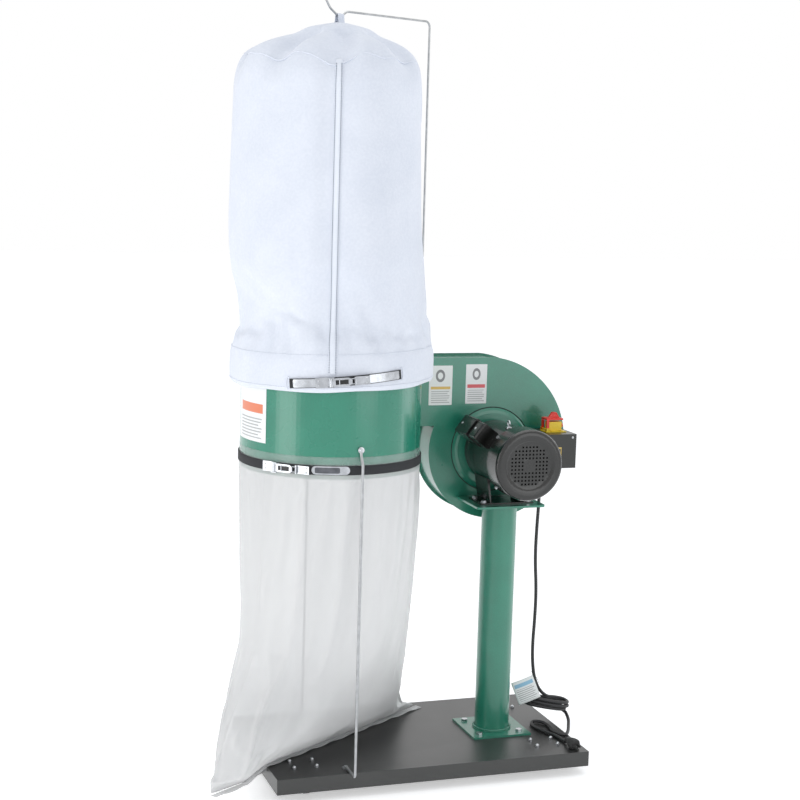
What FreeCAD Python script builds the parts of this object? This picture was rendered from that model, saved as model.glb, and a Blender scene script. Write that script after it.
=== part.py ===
"""Single-stage dust collector on a rolling base, built as separate pieces.

Row frame in millimetres: X along the base's long side, Y towards the back, Z up.
The origin is on the floor, under the middle of the base pan.
"""
import FreeCAD, Part
import math
import os
from FreeCAD import Matrix, Placement, Rotation, Vector

os.makedirs("parts", exist_ok=True)

X = Vector(1, 0, 0)
Y = Vector(0, 1, 0)
Z = Vector(0, 0, 1)

# ---- driving dimensions -------------------------------------------------------------------
RUNNING_GAP = 0.05        # radial clearance of anything that turns on a pin or shaft
SEAT_GAP = 0.3            # clearance between pieces of different bodies that lie together

# rolling base
BASE_LENGTH = 920.0
BASE_WIDTH = 540.0
DECK_TOP = 70.0
BASE_SHEET = 2.5
SKIRT_HEIGHT = 43.0

# casters
CASTER_X = 362.0
CASTER_Y = 172.0
CASTER_BOLT_DX = 64.0
CASTER_BOLT_DY = 52.0
CASTER_PLATE = 3.0
CASTER_PLATE_MARGIN = 11.0
KINGPIN_RADIUS = 4.0
RACE_RADIUS = 17.0
FORK_DISC_RADIUS = 19.0
FORK_SHEET = 2.5
WHEEL_RADIUS = 25.0
WHEEL_WIDTH = 20.0
WHEEL_SIDE_GAP = 0.8
WHEEL_TRAIL = 30.0
CASTER_AXLE_RADIUS = 4.0
CASTER_HEADINGS = {"front_left": 0.0, "front_right": -36.0, "rear_left": 24.0, "rear_right": -12.0}
CASTER_SIDES = {"front_left": (-1, -1), "front_right": (1, -1), "rear_left": (-1, 1), "rear_right": (1, 1)}

# deck fasteners
DECK_STUD_RADIUS = 3.0
DOME_NUT_FLATS = 10.0
POST_BOLT_RADIUS = 5.0
POST_BOLT_FLATS = 17.0
POST_BOLT_SPACING = 124.0

# post that carries the blower
POST_X = 262.0
POST_Y = -10.0
POST_RADIUS = 51.0
POST_WALL = 3.5
POST_FLANGE_SIDE = 180.0
POST_FLANGE_THICK = 6.0
POST_TOP_Z = 760.0
TOP_PLATE_WIDTH = 210.0
TOP_PLATE_FRONT = -105.0
TOP_PLATE_THICK = 6.0
WELD_LEG = 6.0

# motor, its axis along Y
MOTOR_HEIGHT = 138.0      # shaft above the post's top plate
MOTOR_RADIUS = 90.0
MOTOR_WALL = 2.4
SHELL_START_Y = -150.0
SHELL_END_Y = 40.0
COVER_FACE_Y = -224.0
COVER_RADIUS = 101.0
COVER_LENGTH = 74.0
COVER_WALL = 1.5
GRILLE_PITCH = 10.5
GRILLE_HOLE = 5.0
SHAFT_RADIUS = 9.5
BEARING_RADIUS = 23.5
BEARING_WIDTH = 14.0
AIR_GAP = 1.0
ROTOR_RADIUS = 45.0
ROTOR_LENGTH = 90.0
FAN_RADIUS = 84.0
CAPACITOR_ANGLE = 142.0
CAPACITOR_BOX_WIDTH = 60.0
CAPACITOR_BOX_HEIGHT = 54.0
CAPACITOR_BOX_FRONT = -104.0
CAPACITOR_BOX_BACK = 36.0
CAPACITOR_RADIUS = 19.0

# blower housing
FRONT_PLATE_Y = 76.0      # back face of the front plate
HOUSING_WIDTH = 120.0
HOUSING_SHEET = 2.0
HOUSING_FLANGE = 8.0
SCROLL_START_RADIUS = 186.0
SCROLL_END_RADIUS = 264.0
SCROLL_START_ANGLE = 158.0
SCROLL_POWER = 1.8
DUCT_FLOOR_Z = 978.0
DUCT_MOUTH_TOP_Z = 1104.0
DUCT_SLOPE_START_X = 60.0
DUCT_SLOPE_END_X = 8.0
RING_RADIUS = 124.0
IMPELLER_RADIUS = 150.0
IMPELLER_BLADES = 8
IMPELLER_DEPTH = 74.0
INLET_RADIUS = 76.0
INLET_COLLAR = 46.0
INLET_FLANGE_WIDTH = 20.0
PORT_RADIUS = 50.0
PORT_WALL = 1.6
PORT_SPREAD = 58.0
PORT_LENGTH = 60.0
HULL_LENGTH = 48.0
CAP_DEPTH = 28.0
CAP_WALL = 2.0

# separator drum
DRUM_X = -268.0
DRUM_RADIUS = 250.0
DUCT_INSET = 10.0         # from the duct's back wall to the drum's rearmost line
DRUM_WALL = 2.0
DRUM_BOTTOM = 890.0
DRUM_TOP = 1190.0

# filter bag above the drum
FELT = 2.5
BAG_SLACK = 14.0          # bag wall outside the drum's radius
HEM_SLACK = 30.0          # hem outside the drum's radius
HEM_BOTTOM = 1120.0
HEM_TOP = 1204.0
BAG_SHOULDER_Z = 1950.0
BAG_PANEL_Z = 2034.0
BAG_PANEL_INSET = 28.0    # top panel's seam inside the drum's radius
BAG_PEAK_Z = 2096.0
LOOP_WIDTH = 20.0
LOOP_TOP = 2122.0

# band straps and their latches
STRAP_WIDTH = 25.0
STRAP_THICK = 2.0
FILTER_STRAP_Z = 1160.0
FILTER_STRAP_TILT = 5.0
FILTER_SLIT_LEFT = -130.0
FILTER_SLIT_RIGHT = -65.0
FILTER_LATCH_ANGLE = -103.0
COLLECTION_STRAP_Z = 915.0
COLLECTION_LATCH_ANGLE = -136.0
LEVER_PIN_RADIUS = 2.0

# collection bag below the drum: each level's height, and its half length and half thickness
# as shares of the drum's radius
FILM = 1.5
FILM_RIM_TOP = 948.0
BAG_TURN = 32.5
BAG_SHARES = [
    (890.0, 1.008, 1.008),
    (840.0, 1.036, 1.036),
    (700.0, 1.048, 1.020),
    (500.0, 1.140, 0.940),
    (330.0, 1.290, 0.752),
    (200.0, 1.480, 0.520),
    (110.0, 1.630, 0.240),
    (81.0, 1.680, 0.072),
]

# rods beside the collection bag
ROD_RADIUS = 4.0
ROD_X = -256.0
ROD_GAP = 22.0            # from the drum's wall to the rod's axis
ROD_EYE_Z = 964.0
ROD_FOOT = 88.0

# hanger for the filter bag
HANGER_RADIUS = 3.0
HANGER_X = 40.0
HANGER_Y = 100.0
HANGER_ARM_Z = 2124.0
HANGER_HOOK_Z = 2106.0
HANGER_BEND = 16.0

# switch box
SWITCH_X = 418.0
SWITCH_WIDTH = 117.0
SWITCH_DEPTH = 120.0
SWITCH_BOTTOM = 858.0
SWITCH_HEIGHT = 100.0
SWITCH_SHEET = 1.5

# cord
CORD_RADIUS = 5.0
GLAND_LENGTH = 34.0

# ---- sizes that follow from them -----------------------------------------------------------
DECK_UNDER = DECK_TOP - BASE_SHEET
POST_BOTTOM = DECK_TOP + POST_FLANGE_THICK
MOTOR_X = POST_X
MOTOR_Z = POST_TOP_Z + MOTOR_HEIGHT
HOUSING_FRONT = FRONT_PLATE_Y - HOUSING_SHEET
HOUSING_BACK = FRONT_PLATE_Y + HOUSING_WIDTH
SCROLL_TOP_Z = MOTOR_Z + SCROLL_END_RADIUS
DRUM_Y = HOUSING_BACK + DUCT_INSET - DRUM_RADIUS
DRUM_AXIS = Vector(DRUM_X, DRUM_Y, 0)
BAG_BORE = DRUM_RADIUS + SEAT_GAP
BAG_RADIUS = DRUM_RADIUS + BAG_SLACK
HEM_RADIUS = DRUM_RADIUS + HEM_SLACK
BAG_PANEL_RADIUS = DRUM_RADIUS - BAG_PANEL_INSET
HEM_CHANNEL = BAG_RADIUS                    # strap inside the hem
HEM_FRONT = HEM_RADIUS + STRAP_THICK        # strap outside the hem
BAG_LEVELS = [(z, DRUM_RADIUS * length, DRUM_RADIUS * thick) for z, length, thick in BAG_SHARES]
ROD_STAND_OFF = DRUM_RADIUS + ROD_GAP       # from the drum's axis


# ---- building blocks ------------------------------------------------------------------------
def save(name, shape):
    """Write one piece to its STEP file."""
    shape.exportStep("parts/%s.step" % name)


def aimed(shape, base, axis):
    """Move a shape built on the Z axis so that it starts at base and points along axis."""
    shape.Placement = Placement(base, Rotation(Z, axis))
    return shape


def rod(radius, length, base, axis=Z):
    return Part.makeCylinder(radius, length, base, axis)


def pipe(outer, inner, length, base, axis=Z):
    return rod(outer, length, base, axis).cut(rod(inner, length, base, axis))


def block(x_range, y_range, z_range):
    corner = Vector(x_range[0], y_range[0], z_range[0])
    return Part.makeBox(x_range[1] - x_range[0], y_range[1] - y_range[0], z_range[1] - z_range[0], corner)


def turned(profile, base=Vector(), axis=Z):
    """Revolve a closed (radius, height) outline about an axis."""
    points = [Vector(radius, 0, height) for radius, height in profile]
    face = Part.Face(Part.makePolygon(points + [points[0]]))
    return aimed(face.revolve(Vector(), Z, 360), base, axis)


def prism(points, direction):
    """Extrude a closed outline of vectors."""
    return Part.Face(Part.makePolygon(points + [points[0]])).extrude(direction)


def hexagon(flats, height, base, axis=Z):
    radius = flats / math.sqrt(3)
    corners = [Vector(radius * math.cos(math.radians(60 * i)), radius * math.sin(math.radians(60 * i)), 0)
               for i in range(6)]
    return aimed(prism(corners, Z * height), base, axis)


def around(centre, radius, angle, z=0.0):
    """Point on a circle about a vertical axis."""
    turn = math.radians(angle)
    return Vector(centre.x + radius * math.cos(turn), centre.y + radius * math.sin(turn), z)


def fused(shapes):
    """Join touching solids into one, without the seams between their faces."""
    first, rest = shapes[0], shapes[1:]
    return first.multiFuse(rest).removeSplitter() if rest else first


def sweep(path, radius):
    """Round bar along a wire that starts square to its section."""
    start = path.Edges[0]
    point = start.valueAt(start.FirstParameter)
    direction = start.tangentAt(start.FirstParameter)
    circle = Part.Wire(Part.Circle(point, direction, radius).toShape())
    return path.makePipeShell([circle], True, False)


def rounded_path(points, radius_at):
    """Straight runs joined by tangent arcs; radius_at gives each corner's radius."""
    edges = []
    last = points[0]
    for i in range(1, len(points) - 1):
        corner = points[i]
        towards = (corner - points[i - 1]).normalize()
        away = (points[i + 1] - corner).normalize()
        turn = towards.getAngle(away)
        radius = radius_at(i, turn)
        setback = radius * math.tan(turn / 2)
        start = corner - towards * setback
        end = corner + away * setback
        inward = (away - towards).normalize()
        middle = corner + inward * (radius / math.cos(turn / 2) - radius)
        edges.append(Part.LineSegment(last, start).toShape())
        edges.append(Part.Arc(start, middle, end).toShape())
        last = end
    edges.append(Part.LineSegment(last, points[-1]).toShape())
    return Part.Wire(edges)


def cord_solid(name, points):
    """Tube of the cord's free stretch, with every arc as large as its runs allow."""
    radii = []

    def largest(i, turn):
        shorter = min((points[i] - points[i - 1]).Length, (points[i + 1] - points[i]).Length)
        radii.append(0.45 * shorter / math.tan(turn / 2))
        return radii[-1]

    path = rounded_path(points, largest)
    shape = sweep(path, CORD_RADIUS)
    section = math.pi * CORD_RADIUS ** 2
    print(name, "length %.0f" % path.Length, "volume ratio %.4f" % (shape.Volume / section / path.Length),
          "radii", [round(r) for r in radii])
    save(name, shape)


# ---- rolling base ---------------------------------------------------------------------------
def caster_centre(place):
    side_x, side_y = CASTER_SIDES[place]
    return Vector(side_x * CASTER_X, side_y * CASTER_Y, 0)


def caster_bolt_points(place):
    centre = caster_centre(place)
    half_x, half_y = CASTER_BOLT_DX / 2, CASTER_BOLT_DY / 2
    return [centre + Vector(i * half_x, j * half_y, 0) for i in (-1, 1) for j in (-1, 1)]


def post_bolt_points():
    half = POST_BOLT_SPACING / 2
    return [Vector(POST_X + i * half, POST_Y + j * half, 0) for i in (-1, 1) for j in (-1, 1)]


def rod_feet():
    """Where the front and the rear rod are bolted to the deck."""
    reach = ROD_STAND_OFF - ROD_FOOT
    return [Vector(ROD_X, DRUM_Y + side * reach, 0) for side in (-1, 1)]


def make_base():
    half_x, half_y = BASE_LENGTH / 2, BASE_WIDTH / 2
    outside = block((-half_x, half_x), (-half_y, half_y), (DECK_TOP - SKIRT_HEIGHT, DECK_TOP))
    inside = block((-half_x + BASE_SHEET, half_x - BASE_SHEET), (-half_y + BASE_SHEET, half_y - BASE_SHEET),
                   (DECK_TOP - SKIRT_HEIGHT, DECK_UNDER))
    holes = [rod(DECK_STUD_RADIUS + 0.3, BASE_SHEET, Vector(p.x, p.y, DECK_UNDER))
             for place in CASTER_SIDES for p in caster_bolt_points(place)]
    holes += [rod(DECK_STUD_RADIUS + 0.3, BASE_SHEET, Vector(p.x, p.y, DECK_UNDER)) for p in rod_feet()]
    holes += [rod(POST_BOLT_RADIUS + 0.5, BASE_SHEET, Vector(p.x, p.y, DECK_UNDER))
              for p in post_bolt_points()]
    save("base_pan", outside.cut(inside).cut(Part.makeCompound(holes)))


RACE_BOTTOM = DECK_UNDER - CASTER_PLATE - 2.4
FORK_TOP = RACE_BOTTOM - SEAT_GAP
FORK_UNDER = FORK_TOP - FORK_SHEET - 1.3


def make_caster_plates():
    plates = []
    for place in CASTER_SIDES:
        c = caster_centre(place)
        half_x = CASTER_BOLT_DX / 2 + CASTER_PLATE_MARGIN
        half_y = CASTER_BOLT_DY / 2 + CASTER_PLATE_MARGIN
        plate = block((c.x - half_x, c.x + half_x), (c.y - half_y, c.y + half_y),
                      (DECK_UNDER - CASTER_PLATE, DECK_UNDER))
        for p in caster_bolt_points(place):
            hole = Vector(p.x, p.y, DECK_UNDER - CASTER_PLATE)
            plate = plate.cut(rod(DECK_STUD_RADIUS + 0.3, CASTER_PLATE, hole))
        race = rod(RACE_RADIUS, DECK_UNDER - CASTER_PLATE - RACE_BOTTOM, Vector(c.x, c.y, RACE_BOTTOM))
        pin_base = Vector(c.x, c.y, FORK_UNDER - SEAT_GAP)
        pin = rod(KINGPIN_RADIUS, RACE_BOTTOM - FORK_UNDER + SEAT_GAP, pin_base)
        head = rod(KINGPIN_RADIUS + 3, 3, Vector(c.x, c.y, FORK_UNDER - SEAT_GAP - 3))
        plates.append(fused([plate, race, pin, head]))
    save("caster_plates", Part.makeCompound(plates))


def make_caster(place):
    """Fork with its riveted axle, and the wheel, both built at the swivel axis and then turned."""
    inner = WHEEL_WIDTH / 2 + WHEEL_SIDE_GAP
    axle = Vector(0, -WHEEL_TRAIL, WHEEL_RADIUS)
    top = rod(FORK_DISC_RADIUS, FORK_TOP - FORK_UNDER, Vector(0, 0, FORK_UNDER))
    boss = CASTER_AXLE_RADIUS + 4.5
    parts = [top]
    for side in (-1, 1):
        x = inner if side > 0 else -inner - FORK_SHEET
        outline = [Vector(x, 13, FORK_TOP), Vector(x, -14, FORK_TOP), Vector(x, axle.y - boss, axle.z),
                   Vector(x, axle.y + boss, axle.z)]
        parts.append(prism(outline, X * FORK_SHEET))
        parts.append(rod(boss, FORK_SHEET, Vector(x, axle.y, axle.z), X))
    reach = inner + FORK_SHEET + 2.5
    parts.append(rod(CASTER_AXLE_RADIUS, 2 * reach, Vector(-reach, axle.y, axle.z), X))
    fork = fused(parts).cut(rod(KINGPIN_RADIUS + RUNNING_GAP, 20, Vector(0, 0, FORK_UNDER - 5)))
    half = WHEEL_WIDTH / 2
    wheel = turned([(CASTER_AXLE_RADIUS + RUNNING_GAP, -half - 0.4), (10, -half - 0.4), (10, -half + 1.5),
                    (17, -half + 1.5), (18.5, -half), (WHEEL_RADIUS - 2, -half), (WHEEL_RADIUS, -half + 3),
                    (WHEEL_RADIUS, half - 3), (WHEEL_RADIUS - 2, half), (18.5, half), (17, half - 1.5),
                    (10, half - 1.5), (10, half + 0.4), (CASTER_AXLE_RADIUS + RUNNING_GAP, half + 0.4)], axle, X)
    centre = caster_centre(place)
    for name, shape in (("caster_fork_" + place, fork), ("caster_wheel_" + place, wheel)):
        turned_shape = shape.copy()
        turned_shape.rotate(Vector(), Z, CASTER_HEADINGS[place])
        turned_shape.translate(centre)
        save(name, turned_shape)


def make_deck_bolts():
    bolts = []
    for place in CASTER_SIDES:
        for p in caster_bolt_points(place):
            under = DECK_UNDER - CASTER_PLATE
            nut = hexagon(DOME_NUT_FLATS, 5, Vector(p.x, p.y, DECK_TOP))
            dome = Part.makeSphere(DOME_NUT_FLATS / 2 - 0.3, Vector(p.x, p.y, DECK_TOP + 5), Z, 0, 90, 360)
            stud = rod(DECK_STUD_RADIUS, DECK_TOP - under, Vector(p.x, p.y, under))
            head = rod(5.5, 2.2, Vector(p.x, p.y, under - 2.2))
            bolts.append(fused([nut, dome, stud, head]))
    for p in post_bolt_points():
        head = hexagon(POST_BOLT_FLATS, 6.5, Vector(p.x, p.y, POST_BOTTOM))
        shank = rod(POST_BOLT_RADIUS, POST_BOTTOM - DECK_UNDER + 12, Vector(p.x, p.y, DECK_UNDER - 12))
        nut = hexagon(POST_BOLT_FLATS, 8, Vector(p.x, p.y, DECK_UNDER - 8))
        bolts.append(fused([head, shank, nut]))
    for p in rod_feet():
        top = DECK_TOP + 3
        head = hexagon(DOME_NUT_FLATS, 4, Vector(p.x, p.y, top))
        shank = rod(DECK_STUD_RADIUS, top - DECK_UNDER + 8, Vector(p.x, p.y, DECK_UNDER - 8))
        nut = hexagon(DOME_NUT_FLATS, 5, Vector(p.x, p.y, DECK_UNDER - 5))
        bolts.append(fused([head, shank, nut]))
    save("deck_bolts", Part.makeCompound(bolts))


# ---- post -----------------------------------------------------------------------------------
def make_post():
    half = POST_FLANGE_SIDE / 2
    flange = block((POST_X - half, POST_X + half), (POST_Y - half, POST_Y + half), (DECK_TOP, POST_BOTTOM))
    for p in post_bolt_points():
        flange = flange.cut(rod(POST_BOLT_RADIUS + 0.5, POST_FLANGE_THICK, Vector(p.x, p.y, DECK_TOP)))
    save("post_flange", flange)
    plate_under = POST_TOP_Z - TOP_PLATE_THICK
    inner = POST_RADIUS - POST_WALL
    weld = POST_RADIUS + WELD_LEG
    outline = [(inner, POST_BOTTOM), (weld, POST_BOTTOM), (POST_RADIUS, POST_BOTTOM + WELD_LEG),
               (POST_RADIUS, plate_under - WELD_LEG), (weld, plate_under), (inner, plate_under)]
    save("post_tube", turned(outline, Vector(POST_X, POST_Y, 0)))
    plate = block((POST_X - TOP_PLATE_WIDTH / 2, POST_X + TOP_PLATE_WIDTH / 2),
                  (TOP_PLATE_FRONT, HOUSING_FRONT - 2), (plate_under, POST_TOP_Z))
    plate = plate.makeFillet(10, [e for e in plate.Edges if abs(e.tangentAt(e.FirstParameter).z) > 0.99])
    for p in motor_foot_bolts():
        plate = plate.cut(rod(POST_BOLT_RADIUS, TOP_PLATE_THICK, Vector(p.x, p.y, plate_under)))
    save("post_top_plate", plate)


# ---- motor ----------------------------------------------------------------------------------
FOOT_HALF_WIDTH = POST_RADIUS + 31.0
FOOT_BOLT_INSET = 15.0
FOOT_FRONT = -70.0
FOOT_BACK = 30.0
FOOT_SHEET = 4.0
FOOT_LEDGE = 28.0         # flat beside the saddle, for the bolts
SADDLE_DROP = 0.69        # saddle's top below the shaft, as a share of the motor's radius
SADDLE_HALF = 0.733       # its half width there
SHELL_LENGTH = SHELL_END_Y - SHELL_START_Y


def motor_at(y):
    return Vector(MOTOR_X, y, MOTOR_Z)


def motor_foot_bolts():
    reach = FOOT_HALF_WIDTH - FOOT_LEDGE / 2
    ends = (FOOT_FRONT + FOOT_BOLT_INSET, FOOT_BACK - FOOT_BOLT_INSET)
    return [Vector(POST_X + side * reach, y, 0) for side in (-1, 1) for y in ends]


def on_motor(radius, angle, y):
    """Point at a radius and angle about the motor's axis, from +X towards +Z."""
    turn = math.radians(angle)
    return Vector(MOTOR_X + radius * math.cos(turn), y, MOTOR_Z + radius * math.sin(turn))


def make_motor_shell():
    length = SHELL_END_Y - SHELL_START_Y
    save("motor_shell", pipe(MOTOR_RADIUS, MOTOR_RADIUS - MOTOR_WALL, length, motor_at(SHELL_START_Y), Y))


def make_bells():
    spigot = MOTOR_RADIUS - MOTOR_WALL
    y = SHELL_START_Y
    rear = turned([(BEARING_RADIUS, y - 18), (33, y - 18), (33, y - 8), (MOTOR_RADIUS, y - 8), (MOTOR_RADIUS, y),
                   (spigot, y), (spigot, y + 8), (spigot - 6, y + 8), (spigot - 6, y - 2), (33, y - 2),
                   (33, y), (BEARING_RADIUS, y)], motor_at(0), Y)
    for i in range(4):
        lug = block((MOTOR_RADIUS - 6, COVER_RADIUS - COVER_WALL), (y - 8, y), (-8, 8))
        lug.rotate(Vector(), Y, 45 + 90 * i)
        lug.translate(Vector(MOTOR_X, 0, MOTOR_Z))
        rear = rear.fuse(lug.common(rod(COVER_RADIUS - COVER_WALL, 20, motor_at(y - 14), Y)))
    save("motor_bell_rear", rear.removeSplitter())
    y = SHELL_END_Y
    end = HOUSING_FRONT - 8
    front = turned([(BEARING_RADIUS, y - 4), (33, y - 4), (33, y + 2), (spigot - 6, y + 2), (spigot - 6, y - 8),
                    (spigot, y - 8), (spigot, y), (MOTOR_RADIUS, y), (MOTOR_RADIUS, y + 10), (MOTOR_RADIUS - 4, end),
                    (MOTOR_RADIUS - 14, end), (MOTOR_RADIUS - 14, y + 10), (33, y + 10), (33, y + 14),
                    (BEARING_RADIUS, y + 14)], motor_at(0), Y)
    save("motor_bell_front", front)


def bearing_spans():
    return [SHELL_START_Y - 16, SHELL_END_Y - 2]


def make_motor_inside():
    middle = (SHELL_START_Y + SHELL_END_Y) / 2
    start = middle - ROTOR_LENGTH / 2
    save("motor_rotor", pipe(ROTOR_RADIUS, SHAFT_RADIUS, ROTOR_LENGTH, motor_at(start), Y))
    save("motor_stator", pipe(MOTOR_RADIUS - MOTOR_WALL, ROTOR_RADIUS + AIR_GAP, ROTOR_LENGTH + 20,
                              motor_at(start - 10), Y))
    rings = [pipe(BEARING_RADIUS, SHAFT_RADIUS + RUNNING_GAP, BEARING_WIDTH, motor_at(y), Y) for y in bearing_spans()]
    save("motor_bearings", Part.makeCompound(rings))


FAN_START_Y = SHELL_START_Y - 52
FAN_SHAFT_RADIUS = 7.0
SHAFT_END_Y = HOUSING_FRONT + 46
HUB_LENGTH = 32.0


def make_shaft():
    steps = [(0, FAN_START_Y - 2), (FAN_SHAFT_RADIUS, FAN_START_Y - 2), (FAN_SHAFT_RADIUS, FAN_START_Y + 28),
             (SHAFT_RADIUS, FAN_START_Y + 28), (SHAFT_RADIUS, SHAFT_END_Y), (0, SHAFT_END_Y)]
    save("motor_shaft", turned(steps, motor_at(0), Y).cut(rod(4, 20, motor_at(SHAFT_END_Y - 20), Y)))


def make_cooling_fan():
    hub = pipe(20, FAN_SHAFT_RADIUS, 26, motor_at(FAN_START_Y), Y)
    parts = [hub, pipe(FAN_RADIUS, 20, 2.5, motor_at(FAN_START_Y + 23.5), Y)]
    for i in range(8):
        blade = block((18, FAN_RADIUS - 2), (FAN_START_Y + 3, FAN_START_Y + 24), (-1.2, 1.2))
        blade.rotate(Vector(), Y, 45 * i)
        blade.translate(Vector(MOTOR_X, 0, MOTOR_Z))
        parts.append(blade)
    save("cooling_fan", fused(parts))


def cover_screw_angles():
    return [45 + 90 * i for i in range(4)]


def make_fan_cover():
    """Dished sheet cover, open behind, with a patch of square holes in its face."""
    r, w, y = COVER_RADIUS, COVER_WALL, COVER_FACE_Y
    outline = [(0, y + 5), (66, y + 5), (72, y + 1), (r - 12, y), (r - 4, y + 3), (r, y + 11), (r, y + COVER_LENGTH),
               (r - w, y + COVER_LENGTH), (r - w, y + 11.5), (r - 5, y + 4.5), (r - 12.5, y + w), (72.6, y + 1 + w),
               (66.5, y + 5 + w), (0, y + 5 + w)]
    cover = turned(outline, motor_at(0), Y)
    holes = []
    for i in range(-5, 6):
        for j in range(-6, 7):
            corner_cut = abs(i) + abs(j) > 8
            middle = abs(i) <= 1 and abs(j) <= 1
            if corner_cut or middle or math.hypot(i, j) * GRILLE_PITCH + GRILLE_HOLE > 66:
                continue
            x, z = MOTOR_X + i * GRILLE_PITCH, MOTOR_Z + j * GRILLE_PITCH
            half = GRILLE_HOLE / 2
            holes.append(block((x - half, x + half), (y, y + 10), (z - half, z + half)))
    save("fan_cover", cover.cut(Part.makeCompound(holes)))


def make_motor_foot():
    """Folded saddle that stands on the post's plate and is welded to the shell."""
    floor = POST_TOP_Z + FOOT_SHEET
    half = FOOT_HALF_WIDTH
    shoulder = MOTOR_Z - SADDLE_DROP * MOTOR_RADIUS
    outer_top = SADDLE_HALF * MOTOR_RADIUS
    inner_top = outer_top - 2 * FOOT_SHEET
    outer_foot = half - FOOT_LEDGE
    inner_foot = outer_foot - FOOT_SHEET
    outline = [(-half, POST_TOP_Z), (half, POST_TOP_Z), (half, floor), (outer_foot, floor),
               (outer_top, shoulder), (-outer_top, shoulder), (-outer_foot, floor), (-half, floor)]
    inside = [(-inner_foot, floor), (inner_foot, floor), (inner_top, shoulder), (-inner_top, shoulder)]
    length = Y * (FOOT_BACK - FOOT_FRONT)
    body = prism([Vector(MOTOR_X + x, FOOT_FRONT, z) for x, z in outline], length)
    hollow = prism([Vector(MOTOR_X + x, FOOT_FRONT, z) for x, z in inside], length)
    foot = body.cut(hollow).cut(rod(MOTOR_RADIUS, SHELL_LENGTH, motor_at(SHELL_START_Y), Y))
    for p in motor_foot_bolts():
        foot = foot.cut(rod(POST_BOLT_RADIUS, FOOT_SHEET, Vector(p.x, p.y, POST_TOP_Z)))
    save("motor_foot", foot)


def make_motor_screws():
    screws = []
    y = SHELL_START_Y - 4
    for angle in cover_screw_angles():
        inner, outer = on_motor(COVER_RADIUS, angle, y), on_motor(COVER_RADIUS + 4, angle, y)
        screws.append(rod(4.5, 4, inner, outer - inner))
    for p in motor_foot_bolts():
        top = POST_TOP_Z + FOOT_SHEET
        head = hexagon(14, 6, Vector(p.x, p.y, top))
        washer = rod(9.5, 1.2, Vector(p.x, p.y, top))
        shank = rod(POST_BOLT_RADIUS, top - POST_TOP_Z + TOP_PLATE_THICK + 10,
                    Vector(p.x, p.y, POST_TOP_Z - TOP_PLATE_THICK - 10))
        nut = hexagon(14, 7, Vector(p.x, p.y, POST_TOP_Z - TOP_PLATE_THICK - 7))
        screws.append(fused([head, washer, shank, nut]))
    save("motor_screws", Part.makeCompound(screws))


def make_capacitor():
    """Two-section cover on the upper left of the shell, and the capacitor inside it."""
    half = CAPACITOR_BOX_WIDTH / 2
    crown = MOTOR_RADIUS + CAPACITOR_BOX_HEIGHT
    joint_y = CAPACITOR_BOX_FRONT + 52
    near = block((MOTOR_RADIUS - 12, crown - 5), (CAPACITOR_BOX_FRONT, joint_y), (-half + 3, half - 3))
    near = near.makeFillet(7, [e for e in near.Edges if e.CenterOfMass.x > crown - 6 and e.Length > 50])
    far = block((MOTOR_RADIUS - 12, crown), (joint_y, CAPACITOR_BOX_BACK), (-half, half))
    far = far.makeFillet(7, [e for e in far.Edges if e.CenterOfMass.x > crown - 1 and e.Length > 50
                             and abs(e.tangentAt(e.FirstParameter).y) > 0.9])
    cavity = block((MOTOR_RADIUS - 12, crown - 8), (CAPACITOR_BOX_FRONT + 2.5, CAPACITOR_BOX_BACK - 2.5),
                   (-half + 6, half - 6))
    box = near.fuse(far).cut(cavity).cut(rod(MOTOR_RADIUS, 400, Vector(0, -250, 0), Y)).removeSplitter()
    can = rod(CAPACITOR_RADIUS, 100, Vector(MOTOR_RADIUS + CAPACITOR_RADIUS + 2, CAPACITOR_BOX_FRONT + 14, 0), Y)
    for name, shape in (("capacitor_box", box), ("capacitor", can)):
        shape.rotate(Vector(), Y, -CAPACITOR_ANGLE)
        shape.translate(Vector(MOTOR_X, 0, MOTOR_Z))
        save(name, shape)


# ---- blower ---------------------------------------------------------------------------------
def scroll_point(angle, grow):
    """Point of the spiral wall, at an angle from +X towards +Z, counted on past a full turn."""
    share = (angle - SCROLL_START_ANGLE) / (450.0 - SCROLL_START_ANGLE)
    radius = SCROLL_START_RADIUS + (SCROLL_END_RADIUS - SCROLL_START_RADIUS) * share ** SCROLL_POWER + grow
    return on_motor(radius, angle, 0)


def scroll_face(grow, y):
    """Outline of the scroll and its duct, grown by an amount all round, in the plane at y."""
    count = 13
    step = (450.0 - SCROLL_START_ANGLE) / (count - 1)
    spiral = [scroll_point(SCROLL_START_ANGLE + step * i, grow) for i in range(count)]
    curve = Part.BSplineCurve()
    curve.interpolate(Points=spiral)
    top = SCROLL_TOP_Z + grow
    mouth = DUCT_MOUTH_TOP_Z + grow
    floor = DUCT_FLOOR_Z - grow
    corners = [spiral[-1], Vector(DUCT_SLOPE_START_X, 0, top), Vector(DUCT_SLOPE_END_X, 0, mouth),
               Vector(DRUM_X, 0, mouth), Vector(DRUM_X, 0, floor), Vector(spiral[0].x - 8, 0, floor), spiral[0]]
    edges = [curve.toShape()] + [Part.LineSegment(a, b).toShape() for a, b in zip(corners, corners[1:])]
    face = Part.Face(Part.Wire(edges))
    face.translate(Vector(0, y, 0))
    return face


def drum_clearance():
    return rod(DRUM_RADIUS, 2000, Vector(DRUM_X, DRUM_Y, 0))


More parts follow.
